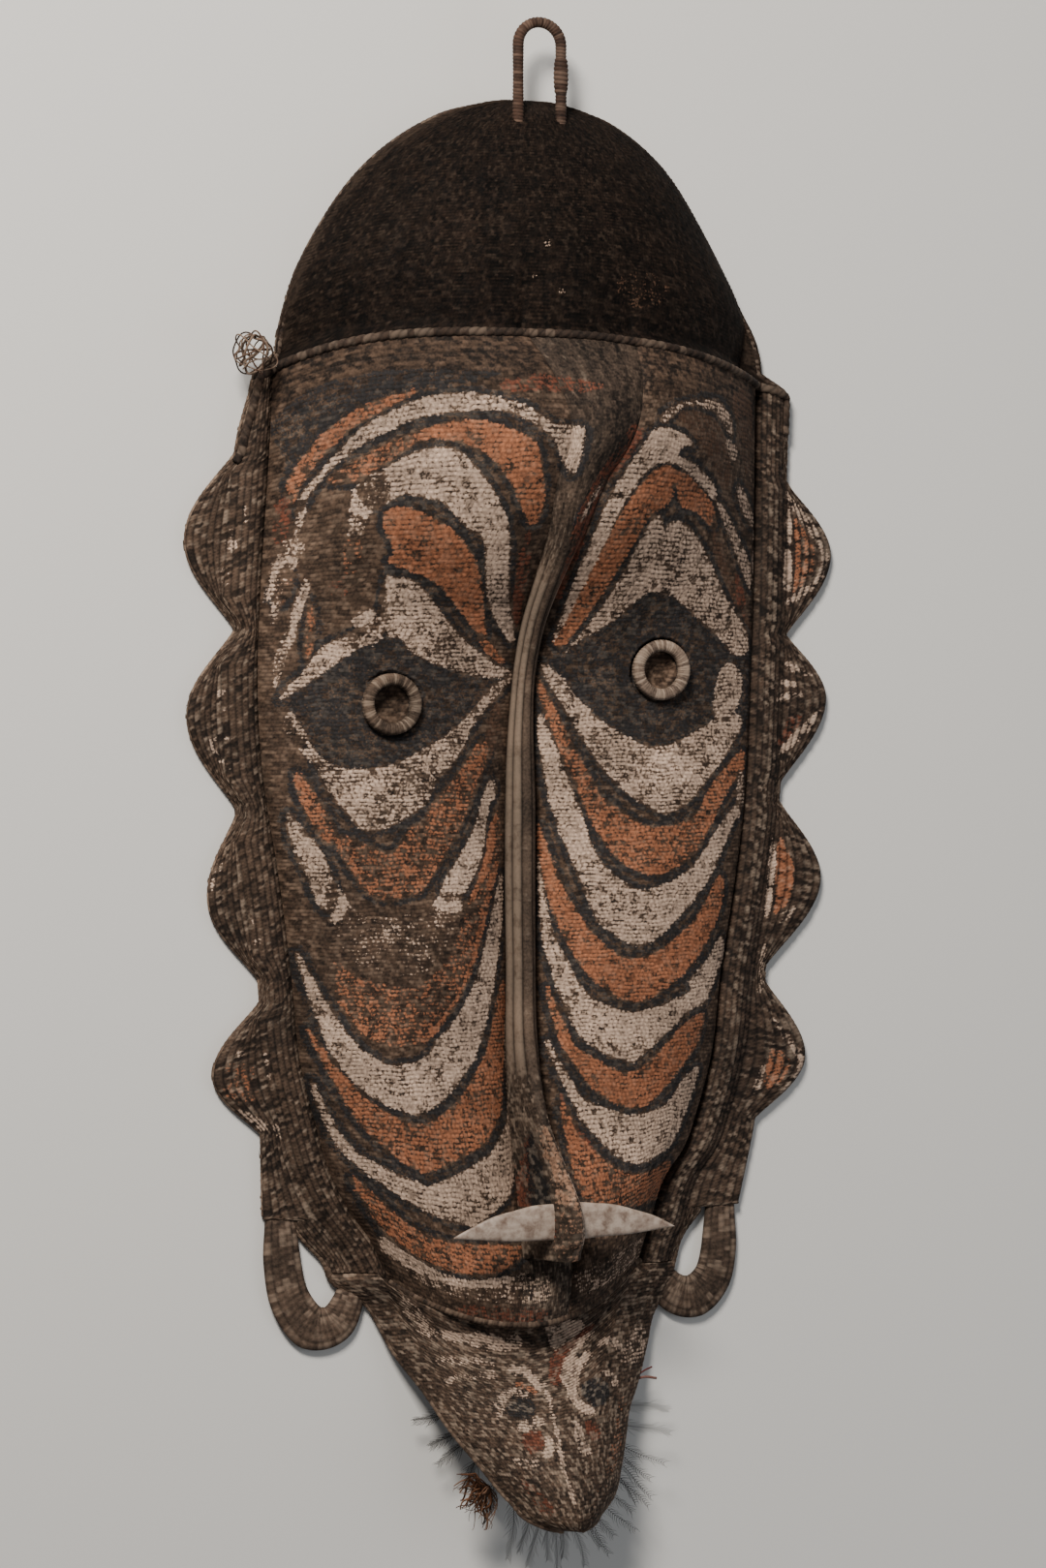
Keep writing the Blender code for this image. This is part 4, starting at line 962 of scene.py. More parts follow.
# ---- The scalloped flanges ----
# Outside each groove lies a flat border of coils: six straight ones along the groove, and six more that
# swing out round four scallops. Each coil is wrapped with slanting stitches and touched with clay.
STRIP_COILS = 6
SCALLOP_COILS = 6
COIL_COLUMNS = 4
COIL_DEPTH = 0.95
STITCH_RUN = 2.3
LEFT_FLANGE_CANE = ((0.135, 0.083, 0.055), (0.016, 0.0105, 0.0075))
RIGHT_FLANGE_CANE = ((0.115, 0.071, 0.048), (0.014, 0.009, 0.0065))
FLANGE_PAINT = (
    ("white", 1, (
        (205, 718), (207, 705), (206, 688), (208, 662), (202, 660), (198, 667), (202, 698), (201, 715),
    )),
    ("white", 2, (
        (202, 731), (218, 716), (225, 706), (231, 696), (236, 684), (234, 673), (227, 664), (205, 650),
        (202, 654), (222, 667), (227, 674), (229, 683), (226, 693), (205, 720),
    )),
    ("ochre", 3, (
        (208, 712), (216, 705), (222, 695), (225, 683), (222, 673), (214, 664), (205, 658), (208, 667),
    )),
    ("white", 1, ((203, 610), (210, 607), (221, 602), (220, 599), (208, 602), (202, 606))),
    ("white", 1, ((198, 596), (208, 596), (211, 592), (200, 592))),
    ("white", 1, ((195, 584), (205, 587), (214, 588), (214, 584), (202, 583), (193, 581))),
    ("red", 2, ((206, 572), (214, 570), (211, 562), (203, 553), (194, 550), (199, 561))),
    ("white", 1, ((229, 575), (224, 565), (214, 556), (205, 548), (197, 544), (199, 550), (224, 573))),
    ("white", 1, ((190, 482), (194, 474), (193, 457), (190, 432), (185, 432))),
    ("ochre", 0, ((196, 481), (202, 477), (207, 467), (208, 456), (205, 443), (199, 433), (193, 434))),
    ("white", 4, ((195, 429), (202, 433), (210, 436), (211, 431), (204, 425), (196, 423))),
    ("white", 3, ((180, 376), (182, 398), (184, 407), (187, 408), (184, 377))),
    ("white", 3, (
        (193, 356), (212, 336), (217, 325), (216, 314), (208, 305), (200, 301), (200, 307), (208, 313),
        (210, 323), (206, 333), (192, 351),
    )),
    ("white", 2, ((186, 322), (184, 314), (181, 304), (176, 301), (178, 310), (182, 320))),
    ("ochre", 3, ((186, 304), (186, 317), (190, 334), (198, 334), (205, 325), (202, 315), (195, 307))),
    ("white", 5, ((-214, 694), (-209, 696), (-206, 687), (-209, 679), (-213, 681))),
    ("white", 4, ((-203, 713), (-200, 714), (-200, 703), (-202, 700))),
    ("white", 7, ((-219, 669), (-212, 670), (-210, 657), (-215, 653))),
    ("white", 2, ((-220, 582), (-216, 587), (-213, 586), (-216, 581))),
    ("white", 2, ((-217, 573), (-212, 576), (-210, 574), (-214, 571))),
    ("white", 3, ((-225, 553), (-219, 555), (-211, 555), (-211, 552), (-219, 551), (-224, 550))),
    ("white", 3, ((-224, 551), (-209, 533), (-211, 531), (-217, 536), (-223, 544))),
    ("white", 5, ((-197, 463), (-194, 451), (-192, 436), (-193, 424), (-196, 429), (-197, 446))),
    ("white", 6, ((-194, 415), (-190, 418), (-189, 411), (-192, 407))),
    ("ochre", 6, (
        (-214, 331), (-202, 332), (-189, 329), (-188, 317), (-193, 305), (-208, 305), (-216, 314),
    )),
    ("white", 3, ((-205, 340), (-200, 342), (-199, 337), (-204, 335))),
    ("white", 2, ((-204, 301), (-197, 299), (-189, 294), (-182, 287), (-186, 284), (-202, 296))),
    ("white", 3, ((-180, 291), (-175, 289), (-172, 279), (-177, 280), (-181, 286))),
    ("white", 5, ((-187, 339), (-182, 337), (-181, 323), (-182, 313), (-185, 317), (-186, 330))),
    ("white", 7, (
        (-218, 473), (-214, 469), (-220, 453), (-223, 433), (-216, 422), (-219, 418), (-225, 431),
        (-225, 459),
    )),
)

flange_v = np.arange(LIP_Y, BROW_Y + 0.01, 1.2)
for side, label, cane in ((-1, "flange_left", LEFT_FLANGE_CANE), (1, "flange_right", RIGHT_FLANGE_CANE)):
    rim, groove = edge(side, flange_v), groove_x(side, flange_v)
    width = np.abs(rim - groove)
    strip = np.minimum(STRIP_WIDTH, 0.78 * width)
    coil = np.arange((STRIP_COILS + SCALLOP_COILS) * COIL_COLUMNS + 1) / COIL_COLUMNS
    out = np.where(
        coil <= STRIP_COILS,
        strip[:, None] * np.minimum(coil / STRIP_COILS, 1),
        strip[:, None] + (width - strip)[:, None] * (coil - STRIP_COILS) / SCALLOP_COILS,
    )
    order = slice(None, None, side)
    x = (groove[:, None] + side * out)[:, order]
    coils = np.broadcast_to(coil, x.shape)[:, order]
    v = np.broadcast_to(flange_v[:, None], x.shape)
    point = surface(x, v)
    point[..., 2] -= GROOVE_DIP * np.exp(-((np.abs(x - groove[:, None]) / 2.2) ** 2))
    lay = np.floor(np.minimum(coils, STRIP_COILS + SCALLOP_COILS - 0.01))
    wound = 0.35 + 0.65 * np.abs(np.sin(math.pi * coils)) ** 0.6
    stitch = point[..., 1] / STITCH_RUN + 0.8 * (coils - lay) + 0.5 * lay
    stitch = stitch + 0.3 * np.sin(0.11 * point[..., 1] + lay)
    luck = chance(lay, np.floor(stitch))
    crest = wound * (0.4 + 0.6 * np.sin(math.pi * (stitch % 1.0)) ** 0.8) * np.where(
        luck < 0.18, 0.35, 0.7 + 0.3 * luck
    )
    tone = 0.2 + 0.2 * chance(lay, 5.0 + side) + 0.4 * luck
    relief = COIL_DEPTH * (crest - 0.5) * np.clip(coils * 2, 0, 1)
    marks = painted(point[..., 0], point[..., 1], FLANGE_PAINT, spread=0)
    finish = woven_finish(f"{label}_coils", cane, ("red", "ochre", "white"), dust_and_highlight=0.4)
    woven_sheet(label, point, relief, {**marks, "raised": crest, "tone": tone}, finish)

# ---- The dome of the hood ----
# Above the brow the mask closes in a plaited dome, smoked nearly black, with a rusty stain, a few chips
# of old white clay, and a browner band worn along its rim.
HOOD_COLUMNS = 320
HOOD_ROWS = 160
HOOD_RIM_WORN = 16.0
HOOD_SMOKED = 0.12
HOOD_RIM_PALER = 0.5
PLAIT_DEPTH = 1.0
HOOD_CANE = ((0.030, 0.0175, 0.0115), (0.0022, 0.0016, 0.0014))
HOOD_MARKS = (
    ("brown", 6, ((44, 868), (54, 875), (68, 877), (84, 871), (89, 862), (79, 853), (63, 849), (49, 853))),
    ("white", 7, ((-10, 893), (-4, 894), (-2, 890), (-8, 888))),
    ("white", 7, ((-38, 870), (-31, 870), (-31, 866), (-37, 865))),
    ("white", 7, ((-19, 870), (-13, 870), (-12, 867), (-18, 866))),
    ("white", 7, ((0, 861), (6, 861), (6, 857), (1, 856))),
)

hood_finish = woven_finish("smoked_plait", HOOD_CANE, ("brown", "white"), gap=0.95, dust_and_highlight=0.03, shine=0.1)
trial = np.linspace(BROW_Y, CROWN_Y - 0.3, 600)
climb = np.hypot(np.diff(trial), np.diff(height(np.full_like(trial, HOOD_MID_X), np.maximum(trial, 801.0))))
climb = np.concatenate(((0,), np.cumsum(climb)))
hood_v = np.interp(np.linspace(0, climb[-1], HOOD_ROWS), climb, trial)
hood_v = np.concatenate(((797.0, 798.5, 799.5, 800.2, 801.0), hood_v[hood_v > 801.6]))
x = evenly(edge(-1, hood_v), edge(1, hood_v), hood_v, HOOD_COLUMNS)
v = np.broadcast_to(hood_v[:, None], x.shape)
point = surface(x, v)
column = np.broadcast_to(np.arange(HOOD_COLUMNS) / 2.5, x.shape)
row = np.broadcast_to(np.arange(len(hood_v))[:, None] / 2.0, x.shape)
crest, tone = twined(column, row)
marks = painted(point[..., 0], point[..., 1], HOOD_MARKS, spread=0)
from_rim = np.minimum(x - x[:, :1], x[:, -1:] - x) + 0.6 * (point[..., 2] - EDGE_Z)
tone = tone - HOOD_SMOKED + HOOD_RIM_PALER * smooth((HOOD_RIM_WORN - from_rim) / 8.0)
woven_sheet(
    "hood_dome", point, PLAIT_DEPTH * (crest - 0.5), {**marks, "raised": crest, "tone": tone}, hood_finish
)

# ---- The chin ----
# Below the mouth a pointed chin juts forward, twined like the lobes. A small face is painted on it in
# white, ochre and black, old and much rubbed.
CHIN_COLUMNS = 178
CHIN_CANE = ((0.17, 0.105, 0.07), (0.016, 0.0105, 0.0075))
CHIN_PAINT = (
    ("white", 1, (
        (-70, 147), (-50, 144), (-36, 145), (-21, 140), (-14, 144), (-8, 134), (-20, 131), (-37, 133),
        (-52, 137), (-66, 141),
    )),
    ("white", 4, ((-91, 170), (-81, 164), (-70, 148), (-64, 141), (-73, 138), (-82, 147), (-90, 160))),
    ("white", 4, ((-67, 128), (-47, 128), (-29, 127), (-29, 121), (-47, 122), (-67, 122))),
    ("white", 4, ((-63, 114), (-41, 118), (-28, 119), (-28, 113), (-42, 112), (-61, 109))),
    ("white", 0, ((-20, 121), (-10, 120), (-2, 114), (1, 106), (-3, 105), (-8, 111), (-13, 115), (-20, 116))),
    ("ochre", 2, ((-17, 111), (-8, 109), (-3, 104), (-5, 102), (-15, 105))),
    ("white", 3, (
        (-34, 88), (-34, 97), (-28, 104), (-17, 107), (-8, 105), (-11, 100), (-19, 101), (-25, 97),
        (-28, 92), (-29, 87),
    )),
    ("coal", 1, ((-19, 86), (-25, 88), (-26, 95), (-21, 100), (-13, 101), (-7, 98), (-7, 93), (-11, 87))),
    ("white", 2, ((-22, 83), (-11, 88), (-2, 88), (-3, 83), (-11, 81), (-19, 78))),
    ("red", 0, ((-12, 80), (-6, 78), (-5, 73), (-8, 68), (-15, 65), (-19, 68), (-20, 74), (-17, 79))),
    ("white", 1, ((-5, 76), (0, 75), (-1, 68), (-5, 62), (-9, 63), (-6, 69))),
    ("white", 4, ((-27, 64), (-20, 62), (-11, 62), (-12, 56), (-21, 55), (-27, 58))),
    ("white", 1, (
        (1, 111), (4, 110), (5, 96), (5, 77), (5, 55), (7, 43), (7, 34), (5, 34), (4, 43), (2, 54),
        (2, 76), (2, 95),
    )),
    ("white", 1, ((11, 134), (7, 149), (19, 151), (36, 149), (36, 142), (20, 133), (14, 131))),
    ("red", 1, (
        (17, 132), (34, 141), (46, 147), (44, 140), (29, 129), (21, 121), (17, 111), (10, 107), (6, 112),
        (10, 125),
    )),
    ("white", 0, (
        (46, 141), (35, 132), (27, 123), (22, 114), (20, 106), (15, 109), (16, 117), (22, 125), (32, 135),
        (43, 142),
    )),
    ("white", 0, (
        (41, 127), (33, 119), (28, 110), (25, 103), (28, 98), (36, 91), (35, 88), (27, 89), (21, 94),
        (17, 101), (19, 110), (24, 118), (36, 128),
    )),
    ("coal", 0, ((38, 92), (31, 96), (28, 103), (33, 110), (42, 112), (50, 108), (52, 101), (48, 95))),
    ("white", 2, ((47, 134), (56, 138), (67, 133), (76, 125), (70, 124), (62, 129), (54, 132), (48, 130))),
    ("white", 2, ((48, 116), (57, 114), (61, 105), (56, 103), (53, 109), (47, 111))),
    ("white", 1, ((16, 85), (21, 84), (24, 75), (17, 74))),
    ("white", 1, ((18, 74), (25, 69), (28, 63), (20, 65), (16, 70))),
    ("red", 2, ((27, 84), (36, 82), (40, 75), (32, 71), (26, 77))),
    ("white", 4, ((64, 122), (82, 142), (92, 140), (94, 129), (86, 119), (78, 116))),
    ("red", 5, ((-24, 50), (-17, 46), (-9, 36), (-4, 25), (-12, 25), (-20, 36))),
    ("ochre", 7, ((21, 27), (27, 42), (43, 62), (56, 82), (62, 98), (70, 90), (60, 65), (48, 48))),
)

chin_finish = woven_finish(
    "painted_chin", CHIN_CANE, ("coal", "red", "ochre", "white"), gap=0.95, dust_and_highlight=0.4, ragged=1.6
)
chin_v = np.arange(CHIN_Y, LIP_Y + 0.01, WEFT_ROW)
x = evenly(edge(-1, chin_v), edge(1, chin_v), chin_v, CHIN_COLUMNS)
v = np.broadcast_to(chin_v[:, None], x.shape)
point = surface(x, v)
crest, tone = twined(np.broadcast_to(np.arange(CHIN_COLUMNS) / 3.0, x.shape), v / WEFT_PITCH)
marks = painted(point[..., 0], point[..., 1], CHIN_PAINT, spread=0)
woven_sheet(
    "chin_plate", point, 1.4 * STITCH_DEPTH * (crest - 0.6), {**marks, "raised": crest, "tone": tone}, chin_finish
)

# ---- The inner wall ----
# Seen from behind, the mask is a hollow shell about seven millimetres thick: bare brown cane, with the
# flat border all round it that rests on the table.
INNER_ROWS = 250
INNER_COLUMNS = 130
INNER_CANE = ((0.22, 0.14, 0.09), (0.06, 0.038, 0.026))

inner_finish = woven_finish("raw_cane_inside", INNER_CANE, (), gap=0.7, dust_and_highlight=0.1)
wall_v = np.linspace(CHIN_Y, CROWN_Y - 0.3, INNER_ROWS)
left, right = edge(-1, wall_v), edge(1, wall_v)
x = right[:, None] + (left - right)[:, None] * np.linspace(0, 1, INNER_COLUMNS)
v = np.broadcast_to(wall_v[:, None], x.shape)
low = inner_height(x, v)
border = (v > 168) & (v < 803)
outside = (x < groove_x(-1, wall_v)[:, None]) | (x > groove_x(1, wall_v)[:, None])
low = np.where(border & outside, 0.0, low)
low = np.minimum(low, height(x, v) - 4.5)
low = np.where(low < 0.6, 0.0, low)
point = np.stack((x, lift(x, v), low), -1)
column, row = np.broadcast_to(np.arange(INNER_COLUMNS) / 2.0, x.shape), v / 8.0
crest, tone = twined(column, row)
woven_sheet("inner_wall", point, 0.3 * (crest - 0.5), {"raised": crest, "tone": tone}, inner_finish)

# ---- Rim, brow rope and lip coil ----
# A cane is bound along the whole outline. A two-ply rope covers the join of face and hood at the brow
# and turns down at both ends, and a pale worn coil edges the mouth.
RIM_RADIUS = 3.1
RIM_Z = 3.3
FLANGE_INSET = 2.7
CHIN_INSET = 1.5
LIP_PITCH = 3.4
ROPE_PITCH = 6.5
ROPE_RADIUS = 3.3
LIP_RADIUS = 2.8
WRAP_PITCH = 4.4
RIM_CANE = ((0.19, 0.122, 0.084), (0.04, 0.026, 0.018))
HOOD_RIM_CANE = ((0.06, 0.036, 0.025), (0.016, 0.0105, 0.008))
ROPE_CANE = ((0.066, 0.040, 0.027), (0.012, 0.008, 0.006))
LIP_CANE = ((0.12, 0.075, 0.05), (0.018, 0.012, 0.009))


def bow(points, steps):
    """Even points along a smooth curve through a few given ones."""
    s = np.arange(len(points), dtype=float)
    at = np.linspace(0, len(points) - 1, steps)
    flat = np.array(points, float)
    return np.stack([knots(np.column_stack((s, flat[:, k])), at) for k in range(flat.shape[1])], 1)


def spaced(path, step):
    """The same line with its points this far apart."""
    path = np.array(path, float)
    run = np.concatenate(((0,), np.cumsum(np.linalg.norm(np.diff(path, axis=0), axis=1))))
    at = np.linspace(0, run[-1], max(int(run[-1] / step), 2))
    return np.stack([np.interp(at, run, path[:, k]) for k in range(3)], 1), at


def lay_cord(bm, path, wide, thick=None, sides=8, closed=False, up=(0, 0, 1), crest=1.0, tone=0.5):
    """A cord or strap along a path; half sizes and crest are one number, or one per point or vertex."""
    path = np.array(path, float)
    thick = wide if thick is None else thick
    ahead, behind = np.roll(path, -1, 0), np.roll(path, 1, 0)
    if not closed:
        ahead[-1], behind[0] = path[-1], path[0]
    along = ahead - behind
    along /= np.linalg.norm(along, axis=1, keepdims=True)
    out = np.cross(along, up)
    out /= np.maximum(np.linalg.norm(out, axis=1, keepdims=True), 1e-6)
    raised = np.cross(out, along)
    around = 2 * math.pi * (np.arange(sides + 1) % sides) / sides
    shape = (len(path), sides + 1)
    spread = lambda k: np.broadcast_to(np.asarray(k, float)[:, None] if np.ndim(k) == 1 else k, shape)
    ring = path[:, None] + out[:, None] * (spread(wide) * np.cos(around))[..., None]
    ring = ring + raised[:, None] * (spread(thick) * np.sin(around))[..., None]
    heights, tones = spread(crest), spread(tone)
    if closed:
        ring, heights, tones = (np.concatenate((a, a[:1])) for a in (ring, heights, tones))
    high = bm.verts.layers.float.get("raised") or bm.verts.layers.float.new("raised")
    tint = bm.verts.layers.float.get("tone") or bm.verts.layers.float.new("tone")
    made = bmesh.ops.create_grid(bm, x_segments=sides, y_segments=len(ring) - 1, size=1.0)["verts"]
    for vert, place, h, t in zip(made, ring.reshape(-1, 3), heights.reshape(-1), tones.reshape(-1)):
        vert.co = place
        vert[high], vert[tint] = h, t


def close_piece(bm, name, finish, node):
    """The seams and ends of laid cords closed, and the whole made a piece."""
    bmesh.ops.remove_doubles(bm, verts=bm.verts, dist=0.0005)
    bmesh.ops.holes_fill(bm, edges=[e for e in bm.edges if e.is_boundary], sides=0)
    bmesh.ops.recalc_face_normals(bm, faces=bm.faces)
    mesh = bpy.data.meshes.new(name)
    bm.to_mesh(mesh)
    bm.free()
    return fit(name, mesh, finish, node)


def wrapping(run, sides, pitch, plies=1, depth=0.12):
    """Radius share and crest of strands wound round a cord, by distance along it and place round it."""
    around = 2 * math.pi * np.arange(sides + 1) / sides
    turn = plies * around[None, :] - 2 * math.pi * run[:, None] / pitch
    crest = np.abs(np.cos(0.5 * turn)) ** 0.7
    return 1 - depth * (1 - crest), 0.25 + 0.75 * crest


rim_finish = woven_finish("bound_rim", RIM_CANE, (), gap=0.7, dust_and_highlight=0.15)
hood_rim_finish = woven_finish("bound_hood_rim", HOOD_RIM_CANE, (), gap=0.7, dust_and_highlight=0.15)
climb = BROW_Y + (CROWN_Y - BROW_Y) * np.sin(np.linspace(0, 0.5 * math.pi, 300))
rims = [("rim_hood", hood_rim_finish, np.concatenate([
    np.stack((
        edge(side, climb) - FLANGE_INSET * side,
        lift(edge(side, climb), climb) - FLANGE_INSET * smooth((climb - 985) / 15),
        np.full(300, RIM_Z),
    ), 1)[::-side]
    for side in (-1, 1)
]))]
for side, label in ((-1, "left"), (1, "right")):
    for part, low, high in (("flange", 226.0, 797.0), ("chin", 13.5, 222.0)):
        v = np.linspace(low, high, 500)
        x = edge(side, v)
        z = np.full_like(v, RIM_Z)
        if part == "chin":
            z = np.maximum(knots(CHIN_EDGE_Z, v) - RIM_RADIUS, RIM_Z) * smooth((200 - v) / 15.0)
            z += RIM_Z * smooth((v - 185) / 15.0)
        inset = FLANGE_INSET if part == "flange" else CHIN_INSET
        rims.append((f"rim_{part}_{label}", rim_finish, np.stack((x - side * inset, lift(x, v), z), 1)))
for label, finish, path in rims:
    path, run = spaced(path, 1.4)
    radius, crest = wrapping(run, 10, WRAP_PITCH)
    bm = bmesh.new()
    lay_cord(
        bm, path, RIM_RADIUS * radius, sides=10, crest=crest,
        tone=chance(np.floor(run / WRAP_PITCH), len(label))
    )
    close_piece(bm, label, finish, "woven_body")

x = np.linspace(edge(-1, np.array([BROW_Y]))[0] + 3, edge(1, np.array([BROW_Y]))[0] - 3, 500)
brow = surface(x, np.full_like(x, BROW_Y))
left_v, right_v = np.linspace(742, 796, 40), np.linspace(796, 770, 20)
left_x, right_x = edge(-1, left_v) + 4, edge(1, right_v) - 4
left_end = surface(left_x, left_v)
right_end = surface(right_x, right_v)
path, run = spaced(np.concatenate((left_end, brow, right_end)), 1.3)
for _ in range(12):
    path[1:-1] = 0.5 * path[1:-1] + 0.25 * (path[:-2] + path[2:])
radius, crest = wrapping(run, 12, ROPE_PITCH, plies=2, depth=0.2)
bm = bmesh.new()
lay_cord(bm, path, ROPE_RADIUS * radius, sides=12, crest=crest, tone=chance(np.floor(run / 6)))
rope_finish = woven_finish("brow_rope", ROPE_CANE, (), gap=0.85, dust_and_highlight=0.12)
close_piece(bm, "brow_rope", rope_finish, "woven_body")

x = np.linspace(groove_x(-1, np.array([LIP_Y]))[0], groove_x(1, np.array([LIP_Y]))[0], 300)
path, run = spaced(surface(x, np.full_like(x, LIP_Y + 0.5)) - (0, 0, 1.5), 1.2)
radius, crest = wrapping(run, 10, LIP_PITCH)
bm = bmesh.new()
lay_cord(bm, path, LIP_RADIUS * radius, sides=10, crest=crest, tone=chance(np.floor(run / LIP_PITCH), 4))
lip_finish = woven_finish("worn_lip", LIP_CANE, (), dust_and_highlight=0.1)
close_piece(bm, "lip_coil", lip_finish, "woven_body")

# ---- The ear straps ----
# A flat plaited strap of five coils leaves each flange, turns under the ear hole and runs back into the
# cheek, sewn down at both ends.
EAR_THICK = 8.2
EAR_BASE_Z = 0.9
EAR_COILS = 5
EAR_STEPS = 150
EAR_CANE = ((0.155, 0.10, 0.07), (0.036, 0.024, 0.017))
EARS = {
    "ear_left": (
        (-173, 246), (-173, 218), (-171.5, 192), (-166, 168), (-152, 149.5), (-134.5, 150.5),
        (-124.5, 166), (-120, 188),
    ),
    "ear_right": (
        (154, 246), (152.5, 218), (151.5, 192), (146.5, 172.5), (134, 160.5), (119, 162), (107.5, 174),
        (103, 192),
    ),
}

ear_finish = woven_finish("ear_coils", EAR_CANE, (), gap=0.8, dust_and_highlight=0.2)
for label, turns in EARS.items():
    path = bow([(x, y, EAR_BASE_Z + 0.5 * EAR_THICK) for x, y in turns], EAR_STEPS)
    at = np.linspace(0, 21, EAR_STEPS)
    wide = np.interp(at, (0, 5, 9, 12, 16, 21), (9.0, 13.2, 14.5, 15.6, 13.5, 8.0))
    thick = np.interp(at, (0, 4, 17, 21), (2.6, 4.1, 4.1, 2.6))
    around = 2 * math.pi * np.arange(49) / 48
    coil = 0.5 * EAR_COILS * (1 - np.cos(around))
    ribs = np.abs(np.sin(math.pi * coil)) ** 0.6
    crest = 0.2 + 0.8 * ribs[None, :] * (0.7 + 0.3 * np.sin(at[:, None] * 12 + 2 * coil[None, :]))
    flat = np.minimum(1.0, 0.55 + 0.9 * np.abs(np.sin(around)))
    bm = bmesh.new()
    lay_cord(
        bm, path, wide[:, None] * np.ones(49), thick[:, None] * (0.78 + 0.22 * ribs)[None, :] * flat,
        sides=48,
        crest=crest, tone=chance(np.floor(coil)[None, :], np.floor(at * 2)[:, None]),
    )
    close_piece(bm, label, ear_finish, "woven_body")

# ---- The eye rings ----
# Each eye is a thick ring of cane wrapped with pale split cane, standing on the lobe round a dark pupil.
RING_OUTER = 21.2
RING_INNER = 13.0
RING_HEIGHT = 9.3
RING_GAP = 0.3
RING_STEPS = 180
RING_WRAPS = 60
LEFT_RING_CANE = ((0.15, 0.10, 0.07), (0.03, 0.02, 0.014))
RIGHT_RING_CANE = ((0.30, 0.215, 0.16), (0.06, 0.04, 0.03))

for label, (at_x, at_y), cane in (
    ("eye_ring_left", LEFT_EYE, LEFT_RING_CANE), ("eye_ring_right", RIGHT_EYE, RIGHT_RING_CANE)
):
    ring_finish = woven_finish(label + "_cane", cane, (), gap=0.85, dust_and_highlight=0.25)
    base = SEAT_Z + RING_GAP
    angle = 2 * math.pi * np.arange(RING_STEPS) / RING_STEPS
    reach, rise = 0.5 * (RING_OUTER + RING_INNER), 0.5 * RING_HEIGHT
    path = np.stack(
        (at_x + reach * np.cos(angle), at_y + reach * np.sin(angle), np.full_like(angle, base + rise)), 1
    )
    sides = 20
    around = 2 * math.pi * np.arange(sides + 1) / sides
    turn = RING_WRAPS * angle[:, None] / (2 * math.pi) + around[None, :] / (2 * math.pi)
    crest = np.abs(np.sin(math.pi * turn)) ** 0.6
    full = (np.abs(np.cos(around)) ** 3 + np.abs(np.sin(around)) ** 3) ** (-1 / 3)
    share = (1 - 0.07 * (1 - crest)) * full[None, :]
    bm = bmesh.new()
    lay_cord(
        bm, path, 0.5 * (RING_OUTER - RING_INNER) * share, rise * share, sides=sides, closed=True,
        crest=0.2 + 0.8 * crest, tone=chance(np.floor(turn), at_x),
    )
    close_piece(bm, label + "_wrap", ring_finish, label)

# ---- The shell bar ----
# A blade cut from a bailer shell is pushed through the nose. It is off-white and worn smooth, stained
# brown where it has been handled, with pointed ends.
BAR_X = 6.2
BAR_Y = 216.0
BAR_Z = 83.0
BAR_HALF_LENGTH = 80.3
BAR_HEIGHT = 19.8
BAR_SAG = 5.0
BAR_THICK = 6.2
BAR_SLOPE = math.radians(1.2)
BAR_STEPS = 90
BAR_SIDES = 28
SHELL_PALE = (0.40, 0.315, 0.255)
SHELL_STAIN = (0.13, 0.08, 0.055)

shell_finish = bpy.data.materials.new("worn_shell")
shell_finish.use_nodes = True
tree = shell_finish.node_tree
shader = tree.nodes["Principled BSDF"]
stained = add(tree, "MapRange", {"Value": grain(tree, 7.0, 8.0), "From Min": 0.40, "From Max": 0.70}).outputs[0]
streaks = add(
    tree, "MapRange", {"Value": grain(tree, 9.0, 4.0, (0.25, 2.2, 1)), "From Min": 0.5, "From Max": 0.8}
).outputs[0]
colour = blend(tree, stained, (*SHELL_PALE, 1), (*SHELL_STAIN, 1))
colour = blend(tree, sums(tree, "MULTIPLY", streaks, 0.5), colour, (*SHELL_STAIN, 1))
tree.links.new(colour, shader.inputs["Base Color"])
tree.links.new(sums(tree, "MULTIPLY_ADD", grain(tree, 6.0), 0.3, 0.32), shader.inputs["Roughness"])
bump = add(tree, "Bump", {"Height": grain(tree, 3.0, 4.0), "Strength": 0.25, "Distance": 0.0005})
tree.links.new(bump.outputs[0], shader.inputs["Normal"])
t = np.sin(math.pi * (np.linspace(0, 1, BAR_STEPS) - 0.5))
rise = BAR_HEIGHT * (1 - np.abs(t) ** 2.3) + 0.6 + 0.25 * np.sin(17 * t)
sag = BAR_SAG * (1 - t * t) + 0.2 * np.sin(11 * t + 1)
middle, half = 0.5 * (rise - sag), 0.5 * (rise + sag)
thick = 0.5 * BAR_THICK * (0.35 + 0.65 * (1 - t * t))
around = 2 * math.pi * (np.arange(BAR_SIDES + 1) % BAR_SIDES) / BAR_SIDES
squared = np.sign(np.cos(around)) * np.abs(np.cos(around)) ** 0.75
local = np.stack(
    np.broadcast_arrays(
        t[:, None] * BAR_HALF_LENGTH,
        middle[:, None] + half[:, None] * squared[None, :],
        thick[:, None] * np.sign(np.sin(around)) * np.abs(np.sin(around)) ** 0.8,
    ),
    -1,
)
turn = np.array(Matrix.Rotation(BAR_SLOPE, 3, "Z"))
bm = bmesh.new()
made = bmesh.ops.create_grid(bm, x_segments=BAR_SIDES, y_segments=BAR_STEPS - 1, size=1.0)["verts"]
for vert, place in zip(made, (local @ turn.T + (BAR_X, BAR_Y, BAR_Z)).reshape(-1, 3)):
    vert.co = place
close_piece(bm, "shell_nose_bar", shell_finish, "nose_bar")

